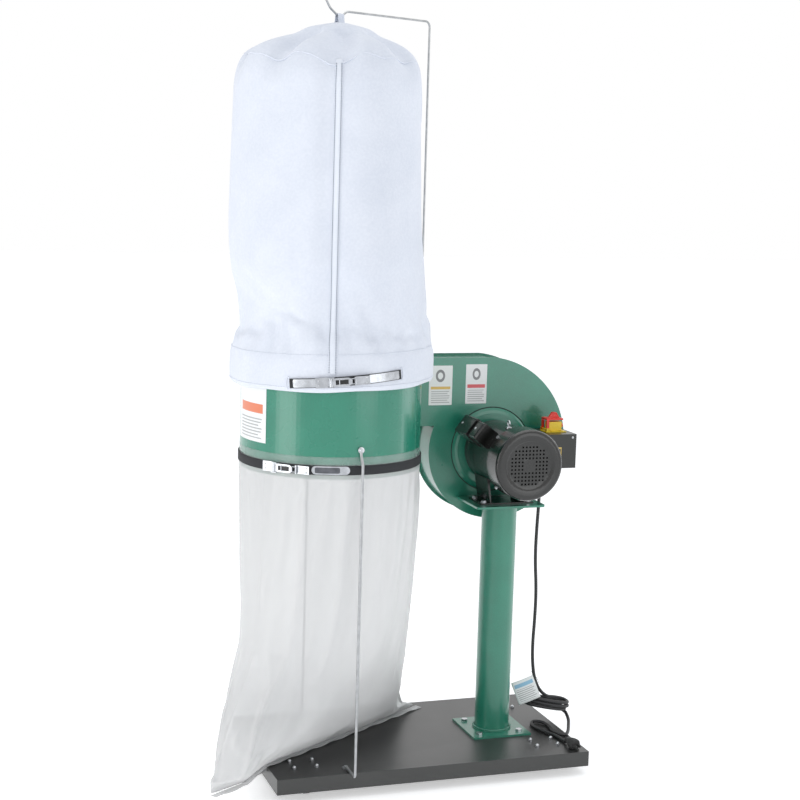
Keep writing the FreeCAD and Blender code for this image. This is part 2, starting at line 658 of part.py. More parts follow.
def make_housing():
    drum = drum_clearance()
    wall = scroll_face(0, FRONT_PLATE_Y).extrude(Y * HOUSING_WIDTH)
    hollow = scroll_face(-HOUSING_SHEET, FRONT_PLATE_Y).extrude(Y * HOUSING_WIDTH)
    save("housing_scroll", wall.cut(hollow).cut(drum))
    front = scroll_face(HOUSING_FLANGE, HOUSING_FRONT).extrude(Y * HOUSING_SHEET)
    front = front.cut(rod(SHAFT_RADIUS + 6, HOUSING_SHEET, motor_at(HOUSING_FRONT), Y))
    save("housing_front", front.cut(drum))
    back = scroll_face(HOUSING_FLANGE, HOUSING_BACK).extrude(Y * HOUSING_SHEET)
    back = back.cut(rod(INLET_RADIUS - HOUSING_SHEET, HOUSING_SHEET, motor_at(HOUSING_BACK), Y))
    for point in inlet_screw_points(HOUSING_BACK):
        back = back.cut(rod(2.5, HOUSING_SHEET, point, Y))
    save("housing_back", back.cut(drum))


def make_motor_ring():
    """Pressed ring between the motor's end bell and the front plate."""
    y = HOUSING_FRONT
    ring = turned([(60, y - 8), (RING_RADIUS - 16, y - 8), (RING_RADIUS - 8, y - 6), (RING_RADIUS, y), (60, y)],
                  motor_at(0), Y)
    save("motor_ring", ring)


def make_impeller():
    """Welded steel wheel: backplate, hub and radial blades that taper towards their tips."""
    start = HOUSING_FRONT + 14
    hub = pipe(24, SHAFT_RADIUS, HUB_LENGTH, motor_at(start), Y)
    disc = pipe(IMPELLER_RADIUS, 24, 3, motor_at(start), Y)
    parts = [hub, disc]
    for i in range(IMPELLER_BLADES):
        outline = [(23, start + 1), (IMPELLER_RADIUS - 1, start + 1), (IMPELLER_RADIUS - 1, start + IMPELLER_DEPTH * 0.6),
                   (70, start + IMPELLER_DEPTH), (45, start + HUB_LENGTH), (23, start + HUB_LENGTH - 4)]
        blade = prism([Vector(x, y, -1.25) for x, y in outline], Z * 2.5)
        blade.rotate(Vector(), Y, 360.0 / IMPELLER_BLADES * i)
        blade.translate(Vector(MOTOR_X, 0, MOTOR_Z))
        parts.append(blade)
    save("impeller", fused(parts))
    washer = rod(17, 3, motor_at(SHAFT_END_Y), Y)
    head = hexagon(13, 6, motor_at(SHAFT_END_Y + 3), Y)
    stud = rod(4, 18, motor_at(SHAFT_END_Y - 18), Y)
    save("impeller_screw", fused([washer, head, stud]))


def inlet_screw_points(y):
    return [on_motor(INLET_RADIUS + INLET_FLANGE_WIDTH / 2, 22.5 + 45 * i, y) for i in range(8)]


COLLAR_START = HOUSING_BACK + HOUSING_SHEET
HULL_START = COLLAR_START + INLET_COLLAR + 6
PORT_START = HULL_START + HULL_LENGTH
PORT_END = PORT_START + PORT_LENGTH


def make_inlet():
    """Round collar on the back plate."""
    ring = pipe(INLET_RADIUS + INLET_FLANGE_WIDTH, INLET_RADIUS - HOUSING_SHEET, 3, motor_at(COLLAR_START), Y)
    for point in inlet_screw_points(COLLAR_START):
        ring = ring.cut(rod(2.5, 3, point, Y))
    collar = pipe(INLET_RADIUS, INLET_RADIUS - HOUSING_SHEET, INLET_COLLAR, motor_at(COLLAR_START), Y)
    save("inlet_flange", fused([ring, collar]))
    screws = []
    for point in inlet_screw_points(COLLAR_START + 3):
        head = hexagon(8, 3.5, point, Y)
        shank = rod(2.5, 3 + HOUSING_SHEET, point - Y * (3 + HOUSING_SHEET), Y)
        screws.append(fused([head, shank]))
    save("housing_screws", Part.makeCompound(screws))


def port_at(side, y):
    return Vector(MOTOR_X, y, MOTOR_Z + side * PORT_SPREAD)


def branch(grow):
    """Filled two-way branch, from the collar to both ports."""
    solids = [rod(INLET_RADIUS + PORT_WALL + grow, HULL_START - COLLAR_START - 14, motor_at(COLLAR_START + 14), Y)]
    for side in (-1, 1):
        near = Part.Wire(Part.Circle(motor_at(HULL_START), Y, INLET_RADIUS + PORT_WALL + grow).toShape())
        far = Part.Wire(Part.Circle(port_at(side, PORT_START), Y, PORT_RADIUS + grow).toShape())
        solids.append(Part.makeLoft([near, far], True, True))
        solids.append(rod(PORT_RADIUS + grow, PORT_LENGTH, port_at(side, PORT_START), Y))
    return fused(solids)


def make_adapter():
    save("inlet_adapter", branch(0).cut(branch(-PORT_WALL)))
    y = PORT_END - CAP_DEPTH
    bore = PORT_RADIUS + SEAT_GAP
    end = PORT_END + SEAT_GAP
    outline = [(bore, y), (bore + CAP_WALL, y), (bore + CAP_WALL, end + CAP_WALL), (0, end + CAP_WALL), (0, end),
               (bore, end)]
    save("inlet_cap", turned(outline, port_at(1, 0), Y))


# ---- separator drum and bags -----------------------------------------------------------------
def make_drum():
    base = Vector(DRUM_X, DRUM_Y, DRUM_BOTTOM)
    drum = pipe(DRUM_RADIUS, DRUM_RADIUS - DRUM_WALL, DRUM_TOP - DRUM_BOTTOM, base)
    mouth = block((DRUM_X, DRUM_X + DRUM_RADIUS + 10),
                  (FRONT_PLATE_Y + HOUSING_SHEET, HOUSING_BACK - HOUSING_SHEET),
                  (DUCT_FLOOR_Z + HOUSING_SHEET, DUCT_MOUTH_TOP_Z - HOUSING_SHEET))
    save("drum", drum.cut(mouth))


def tilted(shape):
    """Turn a piece of the filter bag's band as the band hangs, its right side a little higher."""
    shape.rotate(Vector(DRUM_X, DRUM_Y, FILTER_STRAP_Z), Y, -FILTER_STRAP_TILT)
    return shape


def band_arc(inner, z, start, end):
    """Flat band, standing on edge, round the drum's axis from one angle to another."""
    low = z - STRAP_WIDTH / 2
    outer = inner + STRAP_THICK
    profile = [Vector(inner, 0, low), Vector(outer, 0, low), Vector(outer, 0, low + STRAP_WIDTH),
               Vector(inner, 0, low + STRAP_WIDTH)]
    face = Part.Face(Part.makePolygon(profile + [profile[0]]))
    arc = face.revolve(Vector(), Z, end - start)
    arc.rotate(Vector(), Z, start)
    arc.translate(Vector(DRUM_X, DRUM_Y, 0))
    return arc


def radial_slab(inner, outer, angle, thick, z, height):
    slab = block((inner, outer), (-thick / 2, thick / 2), (z - height / 2, z + height / 2))
    slab.rotate(Vector(), Z, angle)
    slab.translate(Vector(DRUM_X, DRUM_Y, 0))
    return slab


def make_filter_bag():
    """Felt bag: hem round the drum, straight wall, round shoulder, conical top panel, hanging loop."""
    outside = [(BAG_BORE, HEM_BOTTOM), (HEM_RADIUS - 8, HEM_BOTTOM), (HEM_RADIUS, HEM_BOTTOM + 14),
               (HEM_RADIUS, HEM_TOP - 22), (BAG_RADIUS + 2, HEM_TOP), (BAG_RADIUS, HEM_TOP + 60),
               (BAG_RADIUS, BAG_SHOULDER_Z), (BAG_RADIUS - 8, BAG_SHOULDER_Z + 42),
               (BAG_PANEL_RADIUS + 20, BAG_PANEL_Z - 12), (BAG_PANEL_RADIUS, BAG_PANEL_Z), (0, BAG_PEAK_Z)]
    inside = [(0, BAG_PEAK_Z - FELT * 1.1), (BAG_PANEL_RADIUS - 1, BAG_PANEL_Z - FELT),
              (BAG_PANEL_RADIUS + 18, BAG_PANEL_Z - 12 - FELT), (BAG_RADIUS - 8 - FELT, BAG_SHOULDER_Z + 41),
              (BAG_RADIUS - FELT, BAG_SHOULDER_Z), (BAG_RADIUS - FELT, HEM_TOP + 60), (BAG_BORE, DRUM_TOP + 4)]
    bag = turned(outside + inside, Vector(DRUM_X, DRUM_Y, 0))
    room = 1.0
    channel = tilted(band_arc_room(HEM_CHANNEL, FILTER_STRAP_Z, room))
    slits = [tilted(radial_slab(HEM_CHANNEL - room, HEM_RADIUS + 6, angle, STRAP_THICK + 2 * room, FILTER_STRAP_Z,
                                STRAP_WIDTH + 2 * room)) for angle in (FILTER_SLIT_LEFT, FILTER_SLIT_RIGHT)]
    bag = bag.cut(channel).cut(Part.makeCompound(slits))
    arm = Vector(HANGER_X - DRUM_X, HANGER_Y - DRUM_Y, 0).normalize()
    side = HANGER_RADIUS + 2
    loop = block((-LOOP_WIDTH / 2, LOOP_WIDTH / 2), (-side - FELT, side + FELT), (BAG_PEAK_Z - 9, LOOP_TOP))
    gap = block((-LOOP_WIDTH / 2, LOOP_WIDTH / 2), (-side, side), (BAG_PEAK_Z - 9, LOOP_TOP - FELT))
    loop = loop.cut(gap)
    loop.rotate(Vector(), Z, math.degrees(math.atan2(arm.y, arm.x)))
    loop.translate(Vector(DRUM_X, DRUM_Y, 0))
    save("filter_bag", bag.fuse(loop).removeSplitter())


def band_arc_room(inner, z, room):
    """Space round a full band that lies inside the hem."""
    height = STRAP_WIDTH + 2 * room
    return pipe(inner + STRAP_THICK + room, inner - room, height, Vector(DRUM_X, DRUM_Y, z - height / 2))


def make_filter_strap():
    """Band inside the hem's channel that comes out through both slits and crosses the front."""
    hidden = band_arc(HEM_CHANNEL, FILTER_STRAP_Z, FILTER_SLIT_RIGHT, FILTER_SLIT_LEFT + 360)
    front = band_arc(HEM_FRONT, FILTER_STRAP_Z, FILTER_SLIT_LEFT, FILTER_SLIT_RIGHT)
    links = [radial_slab(HEM_CHANNEL + 0.2, HEM_FRONT + STRAP_THICK - 0.2, angle, STRAP_THICK, FILTER_STRAP_Z,
                         STRAP_WIDTH) for angle in (FILTER_SLIT_LEFT, FILTER_SLIT_RIGHT)]
    save("filter_strap", tilted(fused([hidden, front] + links)))


def bag_section(level, shrink):
    """Ellipse of one level of the collection bag, turned to lie along its bottom seal."""
    z, half_length, half_thick = level
    ellipse = Part.Ellipse(Vector(), half_length - shrink, half_thick - shrink) if half_length > half_thick \
        else Part.Circle(Vector(), Z, half_length - shrink)
    wire = Part.Wire(ellipse.toShape())
    wire.rotate(Vector(), Z, BAG_TURN)
    wire.translate(Vector(DRUM_X, DRUM_Y, z))
    return wire


def make_collection_bag():
    """Film bag: rim round the drum, round body that flattens towards a straight bottom seal."""
    body = Part.makeLoft([bag_section(level, 0) for level in BAG_LEVELS], True, False)
    inner_levels = BAG_LEVELS[:-1] + [(BAG_LEVELS[-1][0] + 2 * FILM,) + BAG_LEVELS[-1][1:]]
    hollow = Part.makeLoft([bag_section(level, FILM) for level in inner_levels], True, False)
    top = BAG_LEVELS[0]
    rim_outer = top[1]
    rim = rod(rim_outer, FILM_RIM_TOP - top[0], Vector(DRUM_X, DRUM_Y, top[0]))
    bore = rod(BAG_BORE, FILM_RIM_TOP - top[0] + 1, Vector(DRUM_X, DRUM_Y, top[0] - 1))
    save("collection_bag", body.cut(hollow).fuse(rim).cut(bore).removeSplitter())


def make_collection_strap():
    inner = BAG_LEVELS[0][1] + 0.2
    start = COLLECTION_LATCH_ANGLE + 6
    save("collection_strap", band_arc(inner, COLLECTION_STRAP_Z, start, start + 348))


LEVER_WIDTH = 22.0


def latch_frame(shape, angle, radius, z):
    """Stand a latch piece, built flat along X with Z outwards, on a band at an angle."""
    shape.transformShape(Matrix(1, 0, 0, 0, 0, 0, -1, 0, 0, 1, 0, 0, 0, 0, 0, 1))
    shape.rotate(Vector(), Z, angle + 90)
    shape.translate(around(DRUM_AXIS, radius, angle, z))
    return shape


def latch_plate():
    """Base plate with two ears for the lever's pin, and the catch plate it pulls on."""
    plate = block((-58, -8), (-LEVER_WIDTH / 2 - 2.5, LEVER_WIDTH / 2 + 2.5), (0, 2))
    ears = [block((-26, -10), (side * (LEVER_WIDTH / 2 + 0.5), side * (LEVER_WIDTH / 2 + 2.5))[::side], (1, 13))
            for side in (-1, 1)]
    pin = rod(LEVER_PIN_RADIUS, LEVER_WIDTH + 5, Vector(-18, -LEVER_WIDTH / 2 - 2.5, 8), Y)
    return fused([plate] + ears + [pin])


def latch_catch():
    catch = block((44, 84), (-LEVER_WIDTH / 2, LEVER_WIDTH / 2), (0, 2))
    hook = block((44, 48), (-LEVER_WIDTH / 2, LEVER_WIDTH / 2), (0, 6))
    return fused([catch, hook])


def latch_lever():
    """Over-centre lever with a rounded thumb end and a wire bail's slot."""
    half = LEVER_WIDTH / 2
    body = block((-21, 26), (-half, half), (6.4, 9.6)).fuse(rod(half, 3.2, Vector(26, 0, 6.4)))
    body = body.cut(block((-6, 12), (-half + 5, half - 5), (6, 10)))
    return body.fuse(rod(5, LEVER_WIDTH, Vector(-18, -half, 8), Y)).removeSplitter().cut(
        rod(LEVER_PIN_RADIUS + RUNNING_GAP, LEVER_WIDTH + 2, Vector(-18, -half - 1, 8), Y))


def make_latches():
    band = STRAP_THICK + 0.3
    filter_radius = HEM_FRONT + band
    strap_radius = BAG_LEVELS[0][1] + 0.2 + band
    plates = []
    for shape in (latch_plate(), latch_catch()):
        plates.append(tilted(latch_frame(shape, FILTER_LATCH_ANGLE, filter_radius, FILTER_STRAP_Z)))
    for shape in (latch_plate(), latch_catch()):
        plates.append(latch_frame(shape, COLLECTION_LATCH_ANGLE, strap_radius, COLLECTION_STRAP_Z))
    save("latch_plates", Part.makeCompound(plates))
    upper = latch_frame(latch_lever(), FILTER_LATCH_ANGLE, filter_radius, FILTER_STRAP_Z)
    lower = latch_frame(latch_lever(), COLLECTION_LATCH_ANGLE, strap_radius, COLLECTION_STRAP_Z)
    save("filter_latch_lever", tilted(upper))
    save("collection_latch_lever", lower)


# ---- rods and hanger -------------------------------------------------------------------------
def make_rods():
    """Front rod: an eye on the drum, a straight stretch, a foot bolted to the deck. The rear one mirrors it."""
    foot = rod_feet()[0]
    lying = DECK_TOP + 1.5 + ROD_RADIUS
    away = DRUM_Y - ROD_STAND_OFF
    touching = DRUM_Y - math.sqrt(DRUM_RADIUS ** 2 - (ROD_X - DRUM_X) ** 2)
    at_drum = touching - ROD_RADIUS - 0.5
    points = [Vector(ROD_X, foot.y - 8, lying), Vector(ROD_X, away, lying), Vector(ROD_X, away, DRUM_BOTTOM + 40),
              Vector(ROD_X, at_drum, ROD_EYE_Z - 10), Vector(ROD_X, at_drum, ROD_EYE_Z)]
    bar = sweep(rounded_path(points, lambda i, turn: 10.0), ROD_RADIUS)
    pad = block((ROD_X - 8, ROD_X + 8), (foot.y - 9, foot.y + 9), (DECK_TOP, DECK_TOP + 3))
    neck = block((ROD_X - ROD_RADIUS, ROD_X + ROD_RADIUS), (foot.y - 14, foot.y - 7), (DECK_TOP, lying))
    hole = rod(DECK_STUD_RADIUS + 0.3, 12, Vector(ROD_X, foot.y, DECK_TOP - 2))
    eye = rod(8, 4, Vector(ROD_X, touching - 0.5, ROD_EYE_Z + 5), Vector(0, -1, 0))
    front = fused([bar, pad.fuse(neck).cut(hole), eye])
    save("front_rod", front)
    save("rear_rod", front.mirror(Vector(0, DRUM_Y, 0), Y))


def make_hanger():
    """Bent steel rod: upright in a socket on the duct, an arm to the bag's axis, and a hook."""
    arm = Vector(DRUM_X - HANGER_X, DRUM_Y - HANGER_Y, 0)
    reach = arm.Length
    arm.normalize()
    foot = Vector(HANGER_X, HANGER_Y, 0)

    def along(distance, z):
        return foot + arm * distance + Z * z

    base_z = slope_z(HANGER_X) + 4
    points = [along(0, base_z), along(0, HANGER_ARM_Z), along(reach - 26, HANGER_ARM_Z), along(reach, HANGER_HOOK_Z),
              along(reach + 34, HANGER_HOOK_Z + 22), along(reach + 52, HANGER_HOOK_Z + 46)]
    radii = {1: HANGER_BEND, 2: 20.0, 3: 14.0, 4: 20.0}
    save("hanger_rod", sweep(rounded_path(points, lambda i, turn: radii[i]), HANGER_RADIUS))
    socket = pipe(HANGER_RADIUS + 3, HANGER_RADIUS, 46, Vector(HANGER_X, HANGER_Y, base_z))
    foot_plate = block((HANGER_X - 14, HANGER_X + 14), (FRONT_PLATE_Y + 4, HANGER_Y + 26),
                       (SCROLL_TOP_Z - 120, base_z + 3))
    bracket = fused([socket, foot_plate]).cut(scroll_face(0, FRONT_PLATE_Y).extrude(Y * HOUSING_WIDTH))
    save("hanger_bracket", bracket.cut(rod(HANGER_RADIUS, 80, Vector(HANGER_X, HANGER_Y, base_z))))


def slope_z(x):
    """Height of the duct's sloping roof at x."""
    share = (x - DUCT_SLOPE_END_X) / (DUCT_SLOPE_START_X - DUCT_SLOPE_END_X)
    return DUCT_MOUTH_TOP_Z + share * (SCROLL_TOP_Z - DUCT_MOUTH_TOP_Z)


# ---- switch ----------------------------------------------------------------------------------
SWITCH_TOP = SWITCH_BOTTOM + SWITCH_HEIGHT
PANEL_X = SWITCH_X + 10
PANEL_HALF_LENGTH = 32.0
PANEL_HALF_WIDTH = 23.0
PANEL_THICK = 3.0
ROCKER_HALF = 20.0
ROCKER_HALF_WIDTH = 14.0
ROCKER_RISE = 27.0
PADDLE_GAP = 6.0


def make_switch_box():
    half_x, half_y = SWITCH_WIDTH / 2, SWITCH_DEPTH / 2
    outside = block((SWITCH_X - half_x, SWITCH_X + half_x), (-half_y, half_y), (SWITCH_BOTTOM, SWITCH_TOP))
    t = SWITCH_SHEET
    inside = block((SWITCH_X - half_x + t, SWITCH_X + half_x - t), (-half_y + t, half_y - t),
                   (SWITCH_BOTTOM + t, SWITCH_TOP - t))
    window = block((PANEL_X - PANEL_HALF_LENGTH + 5, PANEL_X + PANEL_HALF_LENGTH - 5),
                   (-PANEL_HALF_WIDTH + 5, PANEL_HALF_WIDTH - 5), (SWITCH_TOP - t, SWITCH_TOP))
    entry = rod(CORD_RADIUS + 2, t, Vector(CORD_EXIT_X, CORD_EXIT_Y, SWITCH_BOTTOM))
    bracket_gap = SWITCH_X - half_x - MOTOR_X
    nipple = pipe(13, 9, bracket_gap, motor_at(0), X)
    nipple = nipple.cut(rod(MOTOR_RADIUS, 60, motor_at(-30), Y))
    save("switch_box", fused([outside.cut(inside).cut(window).cut(entry), nipple]))


def make_switch():
    top = SWITCH_TOP + PANEL_THICK
    plate = block((PANEL_X - PANEL_HALF_LENGTH, PANEL_X + PANEL_HALF_LENGTH),
                  (-PANEL_HALF_WIDTH, PANEL_HALF_WIDTH), (SWITCH_TOP, top))
    well = block((PANEL_X - ROCKER_HALF - 3, PANEL_X + ROCKER_HALF + 3), (-PANEL_HALF_WIDTH + 5.5, PANEL_HALF_WIDTH - 5.5),
                 (SWITCH_TOP - 30, SWITCH_TOP))
    body = fused([plate, well])
    body = body.cut(block((PANEL_X - ROCKER_HALF - 1.5, PANEL_X + ROCKER_HALF + 1.5),
                          (-ROCKER_HALF_WIDTH - 0.5, ROCKER_HALF_WIDTH + 0.5), (SWITCH_TOP - 14, top)))
    pivot_z = SWITCH_TOP - 5
    rocker_pin = rod(2, 2 * PANEL_HALF_WIDTH - 12, Vector(PANEL_X, -PANEL_HALF_WIDTH + 6, pivot_z), Y)
    hinge_x = PANEL_X - PANEL_HALF_LENGTH + 5
    hinge_z = top + 5
    cheeks = [block((hinge_x - 4, hinge_x + 4), (y, y + 3), (SWITCH_TOP + 1, hinge_z + 4))
              for y in (-PANEL_HALF_WIDTH, PANEL_HALF_WIDTH - 3)]
    hinge_pin = rod(2, 2 * PANEL_HALF_WIDTH, Vector(hinge_x, -PANEL_HALF_WIDTH, hinge_z), Y)
    save("switch_body", fused([body, rocker_pin, hinge_pin] + cheeks))
    rocker = block((PANEL_X - ROCKER_HALF, PANEL_X + ROCKER_HALF), (-ROCKER_HALF_WIDTH, ROCKER_HALF_WIDTH),
                   (SWITCH_TOP - 7, top + ROCKER_RISE))
    rocker = rocker.cut(block((PANEL_X - 30, PANEL_X + 30), (-20, 20), (SWITCH_TOP - 10, top + 1)).cut(
        block((PANEL_X - 12, PANEL_X + 12), (-20, 20), (SWITCH_TOP - 10, top + 1))))
    rocker = rocker.cut(rod(2 + RUNNING_GAP, 40, Vector(PANEL_X, -20, pivot_z), Y))
    key_z = top + 13
    slot_start = PANEL_X + ROCKER_HALF - 16
    rocker = rocker.cut(block((slot_start, PANEL_X + ROCKER_HALF + 1), (-7, 7), (key_z, key_z + 6)))
    save("switch_rocker", rocker)
    tab = block((slot_start + 0.5, PANEL_X + ROCKER_HALF + 1), (-6.7, 6.7), (key_z + 0.3, key_z + 5.7))
    grip = block((PANEL_X + ROCKER_HALF + 0.5, PANEL_X + ROCKER_HALF + 6), (-9, 9), (key_z - 2, key_z + 8))
    save("switch_key", fused([tab, grip]))
    lid_low = top + ROCKER_RISE + PADDLE_GAP
    lid = block((hinge_x - 3, PANEL_X + ROCKER_HALF + 2), (-PANEL_HALF_WIDTH + 3.5, PANEL_HALF_WIDTH - 3.5),
                (lid_low, lid_low + 5))
    ridge = prism([Vector(PANEL_X - 16, -8, lid_low + 4), Vector(PANEL_X + 16, -8, lid_low + 4),
                   Vector(PANEL_X + 5, -8, lid_low + 21), Vector(PANEL_X - 5, -8, lid_low + 21)], Y * 16)
    arms = [block((hinge_x - 3, hinge_x + 5), (y, y + 2.5), (hinge_z - 3, lid_low + 1))
            for y in (-PANEL_HALF_WIDTH + 3.5, PANEL_HALF_WIDTH - 6)]
    paddle = fused([lid, ridge] + arms)
    save("switch_paddle", paddle.cut(rod(2 + RUNNING_GAP, 60, Vector(hinge_x, -30, hinge_z), Y)))


# ---- cord ------------------------------------------------------------------------------------
CORD_EXIT_X = 400.0
CORD_EXIT_Y = 20.0
HANK_CENTRE = Vector(450, 22, 121)
HANK_LENGTH = 168.0
HANK_WIDTH = 84.0
HANK_HEIGHT = 50.0
HANK_TILT = 14.0

CORD_DROP = [
    (400, 20, 824), (401.5, 20.5, 764), (396.5, 19.5, 664), (395.5, 20.5, 574), (403, 19, 474), (402.5, 21, 384),
    (398.5, 20, 314), (400, 19.5, 254), (408, 20, 204), (425, 21, 166), (432, 22, 142),
]
CORD_TAIL = [
    (512, 10, 92), (508, -22, 81), (489, -64, 76), (470, -104, 75.6), (450, -136, 75.6), (428, -132, 75.6),
    (422, -100, 75.6), (430, -58, 75.6), (428, -18, 75.6), (406, 2, 75.6), (386, -14, 75.6), (384, -56, 75.6),
    (396, -98, 75.6), (413, -132, 75.6), (419, -168, 75.6), (421, -196, 76.5),
]
PLUG_START = Vector(421, -196, 76.5)


def make_cord():
    gland_top = SWITCH_BOTTOM
    gland = turned([(0, gland_top - GLAND_LENGTH), (CORD_RADIUS + 1.5, gland_top - GLAND_LENGTH),
                    (CORD_RADIUS + 5, gland_top - 4), (CORD_RADIUS + 9, gland_top - 4), (CORD_RADIUS + 9, gland_top),
                    (0, gland_top)], Vector(CORD_EXIT_X, CORD_EXIT_Y, 0))
    save("cord_gland", gland)
    cord_solid("cord_drop", [Vector(*p) for p in CORD_DROP])
    cord_solid("cord_tail", [Vector(*p) for p in CORD_TAIL])
    half = HANK_WIDTH / 2
    straight = HANK_LENGTH / 2 - half
    slab = block((-straight, straight), (-half, half), (-HANK_HEIGHT / 2, HANK_HEIGHT / 2))
    ends = [rod(half, HANK_HEIGHT, Vector(x, 0, -HANK_HEIGHT / 2)) for x in (-straight, straight)]
    hank = fused([slab] + ends)
    rims = [e for e in hank.Edges if abs(e.CenterOfMass.z) > HANK_HEIGHT / 2 - 1]
    hank = hank.makeFillet(14, rims)
    hank.rotate(Vector(), Y, HANK_TILT)
    hank.translate(HANK_CENTRE)
    save("cord_hank", hank)


def make_plug():
    """Straight plug with a tapered grip, two flat blades and a round ground pin, lying on the deck."""
    grip = turned([(0, 0), (CORD_RADIUS + 1, 0), (CORD_RADIUS + 1.5, 4), (11, 20), (15, 30), (17, 40), (17, 48),
                   (15, 52), (0, 52)])
    grip = grip.common(block((-16, 16), (-13, 13), (0, 60)))
    blades = [block((x - 0.8, x + 0.8), (-3.2, 3.2), (51, 69)) for x in (-6.4, 6.4)]
    pin = rod(2.4, 20, Vector(0, -8, 51))
    plug = fused([grip] + blades + [pin])
    aim = Vector(0.12, -1, -0.02).normalize()
    plug.Placement = Placement(PLUG_START + Z * 8.8, Rotation(Z, aim))
    save("cord_plug", plug)


TAG_WIDTH = 70.0
TAG_HEIGHT = 74.0
TAG_CENTRE = Vector(POST_X + POST_RADIUS + 48, -30, 184)
TAG_ROLL = 22.0


def make_tag():
    """Card tag beside the cord, with its corner hole, standing on the hank's end."""
    card = block((-TAG_WIDTH / 2, TAG_WIDTH / 2), (-0.5, 0.5), (-TAG_HEIGHT / 2, TAG_HEIGHT / 2))
    card = card.cut(rod(4, 4, Vector(TAG_WIDTH / 2 - 9, -2, 8), Y))
    card.rotate(Vector(), Y, -TAG_ROLL)
    card.rotate(Vector(), Z, -12)
    card.translate(TAG_CENTRE)
    save("cord_tag", card)


make_base()
make_caster_plates()
for caster_place in CASTER_SIDES:
    make_caster(caster_place)
make_deck_bolts()
make_post()
make_motor_shell()
make_bells()
make_motor_inside()
make_shaft()
make_cooling_fan()
make_fan_cover()
make_motor_foot()
make_motor_screws()
make_capacitor()
make_housing()
make_motor_ring()
make_impeller()
make_inlet()
make_adapter()
make_drum()
make_filter_bag()
make_filter_strap()
make_collection_bag()
make_collection_strap()
make_latches()
make_rods()
make_hanger()
make_switch_box()
make_switch()
make_cord()
make_plug()
make_tag()
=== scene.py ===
"""Looks of a single-stage dust collector on a rolling base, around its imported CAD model.

Everything is in metres in the row frame: X along the base, Y to the back, Z up, with the
origin on the floor under the middle of the base pan.
"""

import logging
import math
from collections.abc import Callable, Iterable, Sequence
from dataclasses import dataclass
from enum import Enum

import bmesh
import bpy
from mathutils import Matrix, Vector
from mathutils.noise import noise


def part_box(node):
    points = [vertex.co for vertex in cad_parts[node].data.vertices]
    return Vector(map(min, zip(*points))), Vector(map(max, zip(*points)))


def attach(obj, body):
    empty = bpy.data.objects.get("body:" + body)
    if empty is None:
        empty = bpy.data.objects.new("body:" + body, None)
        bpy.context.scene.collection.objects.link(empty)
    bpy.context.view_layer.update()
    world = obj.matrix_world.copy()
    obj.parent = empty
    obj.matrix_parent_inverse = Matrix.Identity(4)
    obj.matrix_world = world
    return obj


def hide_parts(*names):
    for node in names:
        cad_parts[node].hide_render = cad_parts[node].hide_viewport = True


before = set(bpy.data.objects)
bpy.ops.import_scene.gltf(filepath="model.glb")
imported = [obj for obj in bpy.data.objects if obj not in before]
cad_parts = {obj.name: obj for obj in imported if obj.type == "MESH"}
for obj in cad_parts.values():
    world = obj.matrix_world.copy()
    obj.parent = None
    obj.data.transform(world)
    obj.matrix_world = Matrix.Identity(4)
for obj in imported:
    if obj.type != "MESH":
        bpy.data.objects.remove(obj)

LOG = logging.getLogger("dust_collector")
X_AXIS = Vector((1, 0, 0))
Y_AXIS = Vector((0, 1, 0))
Z_AXIS = Vector((0, 0, 1))
MM = 0.001
UPRIGHT = Matrix(((1, 0, 0, 0), (0, 0, -1, 0), (0, 1, 0, 0), (0, 0, 0, 1)))
MERGE_DISTANCE = 2e-6
CARD_THICKNESS = 0.0004
CLOTH_SETTINGS = {"quality": 6, "mass": 0.15, "tension_stiffness": 20, "compression_stiffness": 20,
                  "shear_stiffness": 8}
Colour = tuple[float, float, float, float]


def srgb(red: float, green: float, blue: float) -> Colour:
    """Turn a colour of 0 to 255 display values into the linear one that shaders use."""
    def linear(value: float) -> float:
        """Undo the display curve of one channel."""
        share = value / 255
        return share / 12.92 if share <= 0.04045 else ((share + 0.055) / 1.055) ** 2.4
    return linear(red), linear(green), linear(blue), 1.0


class Body(Enum):
    """The bodies that new pieces ride on."""

    STAND = "stand"
    CAP = "inlet_cap"
    PADDLE = "switch_paddle"
    FILTER_LATCH = "filter_latch"
    COLLECTION_LATCH = "collection_latch"


